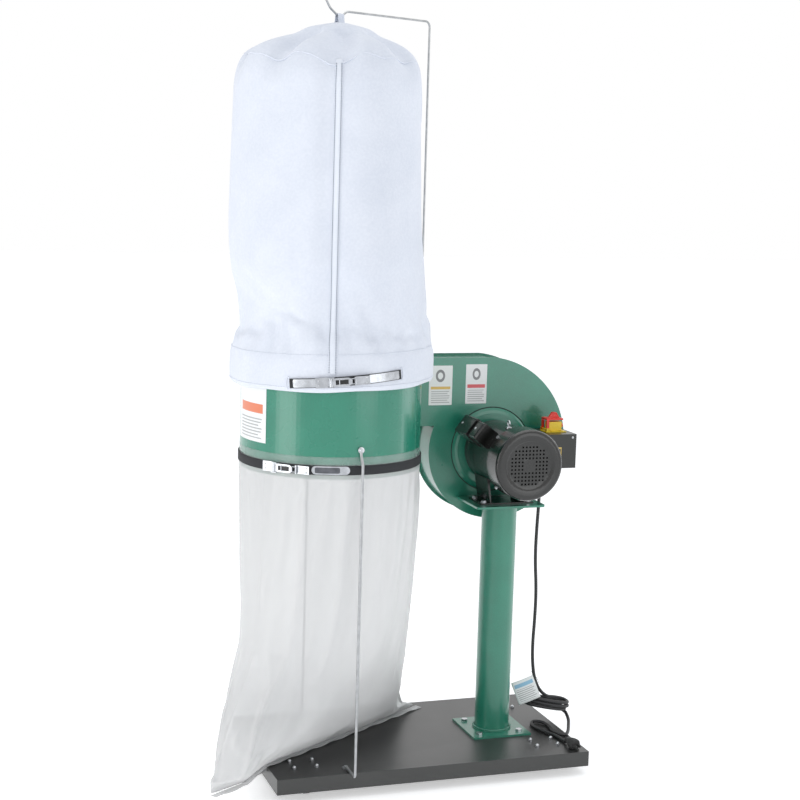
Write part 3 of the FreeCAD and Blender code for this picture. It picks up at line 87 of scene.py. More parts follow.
# ---- shaders --------------------------------------------------------------------------------
class Signal:
    """A socket's output, on which arithmetic adds Math nodes."""

    def __init__(self, shader: "Shader", socket: bpy.types.NodeSocket) -> None:
        """Wrap one output socket of a shader."""
        self.shader = shader
        self.socket = socket

    def maths(self, operation: str, first: "Signal | float", second: "Signal | float") -> "Signal":
        """Add one Math node on two values."""
        return self.shader.node("ShaderNodeMath", {"operation": operation}, {0: first, 1: second})

    def __add__(self, other: "Signal | float") -> "Signal":
        """Sum."""
        return self.maths("ADD", self, other)

    def __radd__(self, other: float) -> "Signal":
        """Sum, with the number first."""
        return self.maths("ADD", other, self)

    def __sub__(self, other: "Signal | float") -> "Signal":
        """Difference."""
        return self.maths("SUBTRACT", self, other)

    def __rsub__(self, other: float) -> "Signal":
        """Difference, with the number first."""
        return self.maths("SUBTRACT", other, self)

    def __mul__(self, other: "Signal | float") -> "Signal":
        """Product."""
        return self.maths("MULTIPLY", self, other)

    def __rmul__(self, other: float) -> "Signal":
        """Product, with the number first."""
        return self.maths("MULTIPLY", other, self)

    def __gt__(self, other: "Signal | float") -> "Signal":
        """1 where this is above the other."""
        return self.maths("GREATER_THAN", self, other)

    def __lt__(self, other: "Signal | float") -> "Signal":
        """1 where this is below the other."""
        return self.maths("LESS_THAN", self, other)

    def __abs__(self) -> "Signal":
        """Size without its sign."""
        return self.maths("ABSOLUTE", self, 0.0)

    def sine(self) -> "Signal":
        """Sine of an angle in radians."""
        return self.maths("SINE", self, 0.0)

    def between(self, low: float, high: float) -> "Signal":
        """1 where this lies between two numbers."""
        return (self > low) * (self < high)


class Shader:
    """One material's node tree, written as expressions on signals."""

    def __init__(self, name: str) -> None:
        """Start an empty material."""
        self.material = bpy.data.materials.new(name)
        self.material.use_nodes = True
        self.tree = self.material.node_tree
        self.tree.nodes.clear()

    def node(self, kind: str, settings: dict | None = None, sockets: dict | None = None,
             output: int | str | None = 0) -> Signal | None:
        """Add one node.

        Args:
            kind: the node's Blender type.
            settings: its own settings, set before anything else; stops are a ramp's.
            sockets: values or signals of its inputs, by name or number.
            output: which output to return, None for a node that has none.

        Returns:
            The chosen output.
        """
        made = self.tree.nodes.new(kind)
        for key, value in (settings or {}).items():
            if key == "stops":
                self.set_stops(made.color_ramp, value)
            else:
                setattr(made, key, value)
        for key, value in (sockets or {}).items():
            if isinstance(value, Signal):
                self.tree.links.new(value.socket, made.inputs[key])
            else:
                made.inputs[key].default_value = value
        return None if output is None else Signal(self, made.outputs[output])

    @staticmethod
    def set_stops(ramp: bpy.types.ColorRamp, stops: Sequence[tuple[float, Colour]]) -> None:
        """Give a colour ramp its stops."""
        while len(ramp.elements) < len(stops):
            ramp.elements.new(1.0)
        for element, (place, colour) in zip(ramp.elements, stops):
            element.position = place
            element.color = colour

    def place(self, scale: Sequence[float] = (1, 1, 1), turn: Sequence[float] = (0, 0, 0)) -> Signal:
        """Object coordinates, stretched and turned."""
        spot = self.node("ShaderNodeTexCoord", output="Object")
        return self.node("ShaderNodeMapping", sockets={"Vector": spot, "Scale": scale, "Rotation": turn})

    def cloth_uv(self) -> Signal:
        """The piece's own UV map."""
        return self.node("ShaderNodeTexCoord", output="UV")

    def axes(self, vector: Signal) -> tuple[Signal, Signal, Signal]:
        """Split a vector into its three numbers."""
        split = self.node("ShaderNodeSeparateXYZ", sockets={0: vector}).socket.node
        return tuple(Signal(self, output) for output in split.outputs)

    def noise(self, size: float, vector: Signal | None = None, detail: float = 3.0,
              roughness: float = 0.5) -> Signal:
        """Soft noise with grains of about one size in metres."""
        sockets = {"Scale": 1.0 / size, "Detail": detail, "Roughness": roughness}
        sockets["Vector"] = vector or self.place()
        return self.node("ShaderNodeTexNoise", sockets=sockets)

    def ramp(self, value: Signal, low: float, high: float) -> Signal:
        """0 below low, 1 above high, and smooth between."""
        settings = {"interpolation_type": "SMOOTHSTEP"}
        return self.node("ShaderNodeMapRange", settings, {"Value": value, "From Min": low, "From Max": high})

    def blend(self, share: Signal | float, first: Signal | Colour, second: Signal | Colour) -> Signal:
        """Mix two colours."""
        sockets = {0: share, 6: first, 7: second}
        return self.node("ShaderNodeMix", {"data_type": "RGBA"}, sockets, output=2)

    def bump(self, height: Signal, depth: float, normal: Signal | None = None) -> Signal:
        """Turn a height of 0 to 1 into a normal, with its full depth in metres."""
        sockets = {"Height": height, "Distance": depth, "Strength": 1.0}
        if normal is not None:
            sockets["Normal"] = normal
        return self.node("ShaderNodeBump", sockets=sockets)

    def eased(self, radius: float) -> Signal:
        """Normal that rounds sharp edges over a radius."""
        return self.node("ShaderNodeBevel", {"samples": 4}, {"Radius": radius})

    def finish(self, **sockets: "Signal | float | Colour") -> bpy.types.Material:
        """Close the tree with a Principled shader; underscores stand for spaces."""
        named = {key.replace("_", " "): value for key, value in sockets.items()}
        surface = self.node("ShaderNodeBsdfPrincipled", sockets=named)
        self.node("ShaderNodeOutputMaterial", sockets={"Surface": surface}, output=None)
        return self.material


# ---- finishes -------------------------------------------------------------------------------
@dataclass(frozen=True)
class Finish:
    """A finish that makes its material once and then hands it out again."""

    name: str
    colour: Colour

    def material(self) -> bpy.types.Material:
        """The finish's material, made on first use."""
        return bpy.data.materials.get(self.name) or self.build(Shader(self.name))

    def build(self, shader: Shader) -> bpy.types.Material:
        """Write the finish's nodes."""
        raise NotImplementedError


@dataclass(frozen=True)
class Paint(Finish):
    """Sprayed enamel over sheet steel: orange peel, soft mottling and edges worn lighter."""

    worn: Colour
    roughness: float = 0.3
    grain: float = 0.0035
    depth: float = 0.00012
    mottle: float = 0.25
    coat: float = 0.4
    sheen: float = 0.12

    def build(self, shader: Shader) -> bpy.types.Material:
        """Write the finish's nodes."""
        peel = shader.noise(self.grain, detail=2.0)
        cloud = shader.noise(0.09, detail=4.0)
        fine = shader.noise(self.grain * 0.45, detail=1.0)
        dark = tuple(channel * (1 - self.mottle) for channel in self.colour[:3]) + (1.0,)
        body = shader.blend(shader.ramp(cloud, 0.3, 0.7) * 0.5 + shader.ramp(fine, 0.35, 0.7) * 0.5,
                            dark, self.colour)
        eased = shader.eased(0.0012)
        flat = shader.node("ShaderNodeNewGeometry", output="Normal")
        cosine = shader.node("ShaderNodeVectorMath", {"operation": "DOT_PRODUCT"}, {0: eased, 1: flat},
                             output="Value")
        wear = shader.ramp(1 - cosine, 0.02, 0.2) * shader.ramp(shader.noise(0.012), 0.4, 0.65)
        return shader.finish(
            Base_Color=shader.blend(wear * 0.6, body, self.worn),
            Roughness=self.roughness + cloud * 0.12 - 0.06 + wear * 0.15,
            Normal=shader.bump(peel, self.depth, eased),
            Coat_Weight=self.coat, Coat_Roughness=self.sheen)


@dataclass(frozen=True)
class Metal(Finish):
    """Plated, drawn or bare metal with fine directional lines and faint stains."""

    roughness: float = 0.3
    lines: tuple[float, float, float] = (1.0, 1.0, 1.0)
    grain: float = 0.001
    stain: float = 0.25

    def build(self, shader: Shader) -> bpy.types.Material:
        """Write the finish's nodes."""
        drawn = shader.noise(self.grain, shader.place(self.lines), detail=2.0)
        cloud = shader.noise(0.02, detail=4.0)
        dull = tuple(channel * (1 - self.stain) for channel in self.colour[:3]) + (1.0,)
        return shader.finish(
            Base_Color=shader.blend(shader.ramp(cloud, 0.3, 0.7), dull, self.colour),
            Metallic=1.0, Roughness=self.roughness + drawn * 0.16 - 0.08 + cloud * 0.1,
            Normal=shader.bump(drawn, 0.00003, shader.eased(0.0005)))


@dataclass(frozen=True)
class Plastic(Finish):
    """Moulded plastic or rubber with a spark-eroded grain and handling haze."""

    roughness: float = 0.4
    grain: float = 0.0008
    depth: float = 0.00004
    haze: float = 0.2

    def build(self, shader: Shader) -> bpy.types.Material:
        """Write the finish's nodes."""
        grain = shader.noise(self.grain, detail=1.0)
        cloud = shader.noise(0.03, detail=4.0)
        light = tuple(min(1.0, channel * (1 + self.haze) + 0.004) for channel in self.colour[:3]) + (1.0,)
        return shader.finish(
            Base_Color=shader.blend(shader.ramp(cloud, 0.35, 0.75), self.colour, light),
            Roughness=self.roughness + cloud * 0.14 - 0.07,
            Normal=shader.bump(grain, self.depth, shader.eased(0.0006)))


@dataclass(frozen=True)
class Felt(Finish):
    """Needled filter felt: matted fibres, pressed fleece and a soft nap."""

    shade: Colour

    def build(self, shader: Shader) -> bpy.types.Material:
        """Write the finish's nodes."""
        fibre = shader.noise(0.0011, shader.place((1, 1, 0.45)), detail=4.0, roughness=0.7)
        tuft = shader.noise(0.007, detail=5.0, roughness=0.6)
        cloud = shader.noise(0.12, detail=3.0)
        body = shader.blend(shader.ramp(cloud, 0.2, 0.8) * 0.35 + shader.ramp(tuft, 0.3, 0.75) * 0.3 + 0.3,
                            self.shade, self.colour)
        return shader.finish(
            Base_Color=body, Roughness=0.86 + fibre * 0.1, Sheen_Weight=0.25, Sheen_Roughness=0.5,
            Normal=shader.bump(fibre * 0.35 + tuft * 0.65, 0.0007))


@dataclass(frozen=True)
class Webbing(Finish):
    """Woven strap: ribs across and a herringbone of yarn along its own UV map, in metres."""

    shade: Colour
    rib: float = 0.0016

    def build(self, shader: Shader) -> bpy.types.Material:
        """Write the finish's nodes."""
        along, across, _ = shader.axes(shader.cloth_uv())
        turn = 2 * math.pi / self.rib
        zigzag = abs(((across * (turn / 4)).sine()))
        rib = (along * turn + zigzag * 3.0).sine() * 0.5 + 0.5
        warp = (across * (turn * 1.4)).sine() * 0.5 + 0.5
        weave = rib * 0.7 + warp * 0.3
        fuzz = shader.noise(0.004, detail=3.0)
        return shader.finish(
            Base_Color=shader.blend(weave * 0.7 + fuzz * 0.3, self.shade, self.colour),
            Roughness=0.68 + fuzz * 0.15, Normal=shader.bump(weave, 0.0004))


@dataclass(frozen=True)
class Film(Finish):
    """Clear film gone milky: hazier where it lies crumpled, clearer at its stretched rim."""

    haze: float
    rim_heights: tuple[float, float] = (0.924, 0.932)
    crumpled_heights: tuple[float, float] = (0.09, 0.32)

    def build(self, shader: Shader) -> bpy.types.Material:
        """Write the finish's nodes."""
        drift = shader.noise(0.16, shader.place((1, 1, 0.35)), detail=4.0)
        pull = shader.noise(0.09, shader.place((1, 1, 0.2)), detail=1.0)
        crackle = shader.noise(0.07, shader.place((1, 1, 0.5)), detail=2.0)
        _, _, height = shader.axes(shader.place())
        rim = shader.ramp(height, *self.rim_heights)
        crumpled = 1 - shader.ramp(height, *self.crumpled_heights)
        milk = (self.haze + (drift - 0.5) * 0.14 + (pull - 0.5) * 0.06 + crumpled * 0.24) * (1 - rim * 0.7)
        return shader.finish(
            Base_Color=self.colour, Roughness=0.26 + crackle * 0.1, Alpha=milk, IOR=1.5,
            Normal=shader.bump(pull * 0.4 + crackle * 0.6, 0.0005))


@dataclass(frozen=True)
class Print(Finish):
    """Coated label on its own UV map: a coloured bar, ruled lines and a plain emblem."""

    bar: Colour
    bar_rows: tuple[float, float] = (0.52, 0.66)
    rules: tuple[float, float] = (0.08, 0.46)
    rule_pitch: float = 0.055
    emblem: tuple[float, float] = (0.5, 0.82)
    emblem_radius: float = 0.1
    ink: Colour = (0.05, 0.05, 0.055, 1.0)

    def build(self, shader: Shader) -> bpy.types.Material:
        """Write the finish's nodes."""
        across, up, _ = shader.axes(shader.cloth_uv())
        inner = across.between(0.08, 0.92)
        bar = up.between(*self.bar_rows) * inner
        wave = (up * (2 * math.pi / self.rule_pitch)).sine()
        ragged = across < (0.86 + (up * 37.0).sine() * 0.06)
        rules = (wave > 0.35) * up.between(*self.rules) * across.between(0.1, 0.9) * ragged
        apart = across - self.emblem[0]
        above = up - self.emblem[1]
        ring = (apart * apart + above * above * 1.6) < self.emblem_radius ** 2
        core = (apart * apart + above * above * 1.6) < (self.emblem_radius * 0.55) ** 2
        paper = shader.blend(bar, self.colour, self.bar)
        inked = shader.blend(rules * 0.55 + (ring - core) * 0.8, paper, self.ink)
        fibre = shader.noise(0.0006, detail=1.0)
        return shader.finish(Base_Color=inked, Roughness=0.36 + fibre * 0.1, Coat_Weight=0.3,
                             Normal=shader.bump(fibre, 0.00002))


@dataclass(frozen=True)
class FloorCoat(Finish):
    """Plain pale studio floor with barely visible rolled texture."""

    glow: float = 0.46

    def build(self, shader: Shader) -> bpy.types.Material:
        """Write the finish's nodes."""
        cloud = shader.noise(0.6, detail=3.0)
        return shader.finish(Base_Color=self.colour, Roughness=0.62 + cloud * 0.1,
                             Emission_Color=(1.0, 1.0, 1.0, 1.0), Emission_Strength=self.glow)


GREEN_PAINT = Paint("green_enamel", srgb(40, 134, 109), srgb(120, 160, 148), roughness=0.27, depth=0.00009,
                    grain=0.0042, mottle=0.16, coat=0.5)
HOUSING_PAINT = Paint("green_hammered_enamel", srgb(40, 134, 109), srgb(120, 160, 148), roughness=0.3,
                      depth=0.00022, grain=0.0045, mottle=0.22, coat=0.6)
DECK_PAINT = Paint("black_textured_powder", srgb(46, 47, 46), srgb(110, 111, 110), roughness=0.38,
                   grain=0.0016, depth=0.0002, mottle=0.3, coat=0.4, sheen=0.36)
MOTOR_PAINT = Paint("motor_black_enamel", srgb(19, 20, 18), srgb(90, 90, 88), roughness=0.24, grain=0.002,
                    depth=0.0001, mottle=0.3, coat=0.35)
BOX_PAINT = Paint("switch_box_black_enamel", srgb(28, 30, 27), srgb(100, 100, 96), roughness=0.36,
                  grain=0.0022, depth=0.0001, mottle=0.25, coat=0.2)
ZINC = Metal("bright_zinc", srgb(205, 208, 212), roughness=0.24, stain=0.22)
STEEL = Metal("plated_rod_steel", srgb(178, 180, 182), roughness=0.3, lines=(1, 1, 0.05), stain=0.2)
BRIGHT_STEEL = Metal("polished_buckle_steel", srgb(196, 199, 204), roughness=0.2, lines=(0.1, 1, 1),
                     stain=0.24)
ALUMINIUM = Metal("cast_aluminium", srgb(170, 172, 174), roughness=0.42, grain=0.002, stain=0.2)
LAMINATION = Metal("motor_lamination", srgb(110, 112, 118), roughness=0.45, lines=(1, 40, 1), stain=0.35)
BLACK_RUBBER = Plastic("black_rubber", srgb(24, 24, 25), roughness=0.55, grain=0.0012, haze=0.35)
WHEEL_PLASTIC = Plastic("caster_wheel_plastic", srgb(30, 30, 32), roughness=0.42, haze=0.5)
BLACK_PLASTIC = Plastic("black_moulding", srgb(22, 23, 24), roughness=0.4, haze=0.3)
RED_PLASTIC = Plastic("red_paddle_plastic", srgb(222, 42, 30), roughness=0.34, haze=0.15)
YELLOW_PLASTIC = Plastic("yellow_switch_plastic", srgb(240, 208, 40), roughness=0.36, haze=0.12)
PORT_PLASTIC = Plastic("port_moulding", srgb(28, 29, 30), roughness=0.45, haze=0.3)
WHITE_FELT = Felt("white_filter_felt", srgb(229, 233, 242), srgb(208, 214, 226))
BLACK_WEBBING = Webbing("black_strap_webbing", srgb(52, 54, 58), srgb(18, 19, 21))
# seam tape felt a shade lighter than the bag: partly its own felt, partly a painted highlight where the proud
# strip catches light
SEAM_FELT_AND_HIGHLIGHT = Felt("seam_tape_felt_with_painted_highlight", srgb(234, 238, 246), srgb(215, 221, 232))
# grey thread, dark enough to also paint the shade lines along both edges of the seam strip
GREY_THREAD_AND_EDGE_SHADE = Plastic("grey_thread_with_painted_edge_shade", srgb(128, 136, 150), roughness=0.7, haze=0.1)
CLEAR_FILM = Film("milky_clear_film", srgb(231, 231, 231), haze=0.4)
CORD_JACKET = Plastic("cord_jacket", srgb(34, 34, 36), roughness=0.46, grain=0.0012, haze=0.3)
LABEL_ORANGE = Print("drum_label_print", srgb(236, 238, 238), srgb(226, 128, 92), bar_rows=(0.5, 0.66),
                     rules=(0.06, 0.44), emblem=(0.72, 0.82), emblem_radius=0.0)
LABEL_YELLOW = Print("housing_label_yellow", srgb(226, 229, 226), srgb(214, 178, 84),
                     bar_rows=(0.4, 0.47), rules=(0.05, 0.36), emblem=(0.48, 0.74), emblem_radius=0.2)
LABEL_RED = Print("housing_label_red", srgb(228, 230, 229), srgb(208, 78, 84), bar_rows=(0.4, 0.49),
                  rules=(0.05, 0.35), emblem=(0.5, 0.75), emblem_radius=0.19)
LABEL_BOX = Print("switch_label_yellow", srgb(206, 176, 88), srgb(60, 56, 40), bar_rows=(0.66, 0.9),
                  rules=(0.1, 0.58), rule_pitch=0.12, emblem=(0.5, 0.8), emblem_radius=0.0)
TAG_CARD = Print("cord_tag_print", srgb(232, 236, 235), srgb(140, 190, 216), bar_rows=(0.7, 0.86),
                 rules=(0.1, 0.62), rule_pitch=0.085, emblem=(0.5, 0.5), emblem_radius=0.0)
NAME_PLATE = Print("motor_data_plate", srgb(150, 152, 152), srgb(60, 62, 62), bar_rows=(0.74, 0.9),
                   rules=(0.1, 0.66), rule_pitch=0.09, emblem=(0.5, 0.5), emblem_radius=0.0)
PALE_FLOOR = FloorCoat("pale_studio_floor", srgb(250, 250, 250))


# ---- mesh building --------------------------------------------------------------------------
class Piece:
    """One mesh, shaped with bmesh operators and then handed to the frame as a piece."""

    def __init__(self, name: str) -> None:
        """Start an empty mesh."""
        self.name = name
        self.mesh = bmesh.new()

    def box(self, low: Sequence[float], high: Sequence[float], bevel: float = 0.0,
            segments: int = 3) -> list[bmesh.types.BMVert]:
        """Add a block between two corners, with its edges rounded.

        Returns:
            The block's vertices.
        """
        low, high = Vector(low), Vector(high)
        scale = Matrix.Diagonal((*(high - low), 1.0))
        made = bmesh.ops.create_cube(self.mesh, size=1.0,
                                     matrix=Matrix.Translation((low + high) / 2) @ scale)["verts"]
        return self.rounded(made, bevel, segments)

    def bar(self, start: Sequence[float], end: Sequence[float], radius: float, tip: float | None = None,
            sides: int = 32, bevel: float = 0.0) -> list[bmesh.types.BMVert]:
        """Add a closed cylinder or cone between two points.

        Returns:
            Its vertices.
        """
        start, end = Vector(start), Vector(end)
        along = end - start
        matrix = Matrix.Translation((start + end) / 2) @ along.to_track_quat("Z", "Y").to_matrix().to_4x4()
        made = bmesh.ops.create_cone(self.mesh, cap_ends=True, segments=sides, radius1=radius,
                                     radius2=radius if tip is None else tip, depth=along.length,
                                     matrix=matrix)["verts"]
        return self.rounded(made, bevel, 2)

    def rounded(self, verts: list[bmesh.types.BMVert], bevel: float, segments: int,
                ) -> list[bmesh.types.BMVert]:
        """Round the sharp edges between some vertices."""
        if not bevel:
            return verts
        chosen = set(verts)
        edges = [edge for edge in self.mesh.edges if edge.verts[0] in chosen and edge.verts[1] in chosen
                 and edge.is_manifold and edge.calc_face_angle(0.0) > math.radians(35)]
        before = {vert for vert in self.mesh.verts if vert not in chosen}
        bmesh.ops.bevel(self.mesh, geom=edges, offset=bevel, offset_type="OFFSET", affect="EDGES",
                        segments=segments, profile=0.5, material=-1)
        return [vert for vert in self.mesh.verts if vert not in before]

    def turned(self, outline: Sequence[tuple[float, float]], base: Sequence[float], axis: Vector,
               steps: int = 64) -> list[bmesh.types.BMVert]:
        """Spin an open or closed outline of (radius, height) about an axis.

        Returns:
            The vertices of the turned shape.
        """
        before = set(self.mesh.verts)
        first = [self.mesh.verts.new((radius, 0.0, height)) for radius, height in outline]
        edges = [self.mesh.edges.new(pair) for pair in zip(first, first[1:])]
        bmesh.ops.spin(self.mesh, geom=first + edges, axis=Z_AXIS, cent=Vector(), dvec=Vector(),
                       angle=2 * math.pi, steps=steps, use_merge=True)
        made = [vert for vert in self.mesh.verts if vert not in before]
        bmesh.ops.remove_doubles(self.mesh, verts=made, dist=1e-6)
        made = [vert for vert in self.mesh.verts if vert not in before]
        turn = axis.to_track_quat("Z", "Y").to_matrix().to_4x4()
        bmesh.ops.transform(self.mesh, matrix=Matrix.Translation(Vector(base)) @ turn, verts=made)
        return made

    def ring(self, centre: Sequence[float], axis: Vector, radius: float, thick: float,
             steps: int = 64, sides: int = 12) -> list[bmesh.types.BMVert]:
        """Add a torus.

        Returns:
            Its vertices.
        """
        turns = [2 * math.pi * i / sides for i in range(sides + 1)]
        circle = [(radius + thick * math.cos(turn), thick * math.sin(turn)) for turn in turns]
        return self.turned(circle, centre, axis, steps)

    def move(self, verts: Iterable[bmesh.types.BMVert], matrix: Matrix) -> None:
        """Move some vertices."""
        bmesh.ops.transform(self.mesh, matrix=matrix, verts=list(verts))

    def finish(self, finish: Finish, body: Body, slot: str, angle: float = 40.0) -> bpy.types.Object:
        """Make the object, dress it and let it ride.

        Args:
            finish: its material.
            body: the body it moves with.
            slot: not used.
            angle: faces that meet more flatly than this are shaded smooth.

        Returns:
            The new object, at the origin.
        """
        bmesh.ops.recalc_face_normals(self.mesh, faces=self.mesh.faces)
        data = bpy.data.meshes.new(self.name)
        self.mesh.to_mesh(data)
        self.mesh.free()
        data.shade_smooth()
        data.set_sharp_from_angle(angle=math.radians(angle))
        return register(bpy.data.objects.new(self.name, data), finish, body)


def register(made: bpy.types.Object, finish: Finish, body: Body) -> bpy.types.Object:
    """Link an object, give it its material and let it ride on a body."""
    if made.name not in bpy.context.scene.collection.objects:
        bpy.context.scene.collection.objects.link(made)
    made.data.materials.clear()
    made.data.materials.append(finish.material())
    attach(made, body.value)
    LOG.info("piece %s on %s in %s", made.name, body.value, finish.name)
    return made


def dress(finish: Finish, *nodes: str) -> None:
    """Give CAD nodes their material."""
    for node in nodes:
        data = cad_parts[node].data
        data.materials.clear()
        data.materials.append(finish.material())
        LOG.info("node %s in %s", node, finish.name)


def smoothed_copy(node: str, finish: Finish, body: Body, angle: float = 30.0) -> bpy.types.Object:
    """Stand a merged, smooth-shaded copy in for a CAD node whose facets would show.

    Args:
        node: the CAD node.
        finish: the copy's material.
        body: the body it rides on.
        angle: edges sharper than this stay sharp.

    Returns:
        The copy.
    """
    copy = Piece(node + "_skin")
    copy.mesh.from_mesh(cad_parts[node].data)
    bmesh.ops.remove_doubles(copy.mesh, verts=copy.mesh.verts, dist=MERGE_DISTANCE)
    data = bpy.data.meshes.new(copy.name)
    copy.mesh.to_mesh(data)
    copy.mesh.free()
    data.shade_smooth()
    data.set_sharp_from_angle(angle=math.radians(angle))
    made = register(bpy.data.objects.new(copy.name, data), finish, body)
    even = made.modifiers.new("even_normals", "WEIGHTED_NORMAL")
    even.keep_sharp, even.weight = True, 100
    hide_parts(node)
    return made


def set_uv(mesh: bmesh.types.BMesh, place: Callable[[Vector], tuple[float, float]]) -> None:
    """Give every corner of a mesh its UV from its position."""
    layer = mesh.loops.layers.uv.verify()
    for face in mesh.faces:
        for loop in face.loops:
            loop[layer].uv = place(loop.vert.co)


def middle(node: str) -> Vector:
    """Centre of a CAD node's box."""
    low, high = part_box(node)
    return (low + high) / 2


def polar(centre: Vector, radius: float, angle: float, height: float) -> Vector:
    """Point about a vertical axis, its angle in degrees from +X towards +Y."""
    turn = math.radians(angle)
    return Vector((centre.x + radius * math.cos(turn), centre.y + radius * math.sin(turn), height))


def round_label(name: str, finish: Finish, slot: str, centre: Vector, radius: float,
                angles: tuple[float, float], heights: tuple[float, float]) -> bpy.types.Object:
    """Stick a thin label on a vertical cylinder.

    Args:
        name: the piece's name.
        finish: its print.
        slot: the record's material slot.
        centre: a point on the cylinder's axis.
        radius: the label's outer radius.
        angles: its left and right edge in degrees.
        heights: its lower and upper edge.

    Returns:
        The label.
    """
    label = Piece(name)
    steps, rows = 16, 8
    start, end = math.radians(angles[0]), math.radians(angles[1])
    low, high = heights
    column = [label.mesh.verts.new(polar(centre, radius, angles[0], low + (high - low) * i / rows))
              for i in range(rows + 1)]
    edges = [label.mesh.edges.new(pair) for pair in zip(column, column[1:])]
    bmesh.ops.spin(label.mesh, geom=column + edges, axis=Z_AXIS, cent=Vector((centre.x, centre.y, 0)),
                   dvec=Vector(), angle=end - start, steps=steps)

    def place(spot: Vector) -> tuple[float, float]:
        """UV of a point on the label."""
        turn = math.atan2(spot.y - centre.y, spot.x - centre.x)
        return (turn - start) / (end - start), (spot.z - low) / (high - low)
    set_uv(label.mesh, place)
    bmesh.ops.solidify(label.mesh, geom=label.mesh.faces[:], thickness=CARD_THICKNESS)
    return label.finish(finish, Body.STAND, slot)


def flat_label(name: str, finish: Finish, slot: str, low: Vector, across: Vector, up: Vector,
               bevel: float = 0.002) -> bpy.types.Object:
    """Stick a thin label on a flat wall.

    Args:
        name: the piece's name.
        finish: its print.
        slot: the record's material slot.
        low: its lower left corner.
        across: from there to the lower right corner.
        up: from there to the upper left corner.
        bevel: the corners' radius.

    Returns:
        The label.
    """
    label = Piece(name)
    out = across.cross(up).normalized()
    made = bmesh.ops.create_grid(label.mesh, x_segments=2, y_segments=2, size=0.5)["verts"]
    turn = Matrix((across, up, out)).transposed().to_4x4()
    label.move(made, Matrix.Translation(low + (across + up) / 2 + out * 0.0003) @ turn)
    corners = [vert for vert in label.mesh.verts if len(vert.link_edges) == 2]
    bmesh.ops.bevel(label.mesh, geom=corners, offset=bevel, offset_type="OFFSET", affect="VERTICES",
                    segments=4, profile=0.5, material=-1)
    set_uv(label.mesh, lambda spot: ((spot - low).dot(across) / across.length_squared,
                                     (spot - low).dot(up) / up.length_squared))
    bmesh.ops.solidify(label.mesh, geom=label.mesh.faces[:], thickness=0.0003)
    return label.finish(finish, Body.STAND, slot)


def screw_head(piece: Piece, spot: Vector, axis: Vector, radius: float, height: float) -> None:
    """Add a domed screw head with a round recess in its crown."""
    outline = [(0.0, height * 0.72), (radius * 0.16, height * 0.72), (radius * 0.26, height),
               (radius * 0.6, height * 0.86), (radius * 0.92, height * 0.42), (radius, 0.0)]
    piece.turned(outline, spot, axis, 20)


# ---- the rolling base -----------------------------------------------------------------------
@dataclass
class RollingBase:
    """Sheet base pan on four swivel casters."""

    places: tuple[str, ...] = ("front_left", "front_right", "rear_left", "rear_right")
    weld_radius: float = 0.0013
    weld_inset: float = 0.0011
    weld_gap: tuple[float, float] = (0.001, 0.0012)

    def build(self) -> None:
        """Dress the pan, casters and nuts, and add the pan's corner welds."""
        smoothed_copy("base_pan", DECK_PAINT, Body.STAND)
        dress(ZINC, "caster_plates", "deck_bolts")
        for place in self.places:
            dress(ZINC, "caster_fork_" + place)
            dress(WHEEL_PLASTIC, "caster_wheel_" + place)
        self.weld_corners()

    def weld_corners(self) -> None:
        """Ground corner welds of the pan, as slim rounded beads."""
        low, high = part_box("base_pan")
        beads = Piece("pan_corner_welds")
        for x in (low.x, high.x):
            for y in (low.y, high.y):
                spot = Vector((x - math.copysign(self.weld_inset, x),
                               y - math.copysign(self.weld_inset, y), 0))
                foot, top = low.z + self.weld_gap[0], high.z - self.weld_gap[1]
                beads.bar(spot + Z_AXIS * foot, spot + Z_AXIS * top, self.weld_radius, sides=12,
                          bevel=0.0004)
        beads.finish(DECK_PAINT, Body.STAND, "black_paint")


# ---- the post -------------------------------------------------------------------------------
@dataclass
class Post:
    """Tube post with welded flange and top plate."""

    radius: float = 0.051
    bead: float = 0.0034
    ripple: float = 0.0007
    ripples: int = 58
    unevenness: float = 0.12

    def build(self) -> None:
        """Dress the post and lay its weld beads."""
        smoothed_copy("post_tube", HOUSING_PAINT, Body.STAND)
        dress(HOUSING_PAINT, "post_flange", "post_top_plate")
        low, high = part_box("post_tube")
        self.weld("post_base_weld", low.z + self.bead)
        self.weld("post_top_weld", high.z - self.bead)

    def weld(self, name: str, height: float) -> None:
        """Lay one rippled weld bead round the tube."""
        centre = middle("post_tube")
        radius = self.radius + self.bead * 0.7
        share = self.ripple / self.bead
        bead = Piece(name)
        made = bead.ring((centre.x, centre.y, height), Z_AXIS, radius, self.bead, steps=self.ripples * 3,
                         sides=10)
        for vert in made:
            turn = math.atan2(vert.co.y - centre.y, vert.co.x - centre.x)
            swell = 1 + share * math.cos(turn * self.ripples) + self.unevenness * noise(vert.co * 90)
            axis = polar(centre, radius, math.degrees(turn), height)
            vert.co = axis + (vert.co - axis) * min(swell, 1.0 + share)
        bead.finish(HOUSING_PAINT, Body.STAND, "green_paint", angle=80)


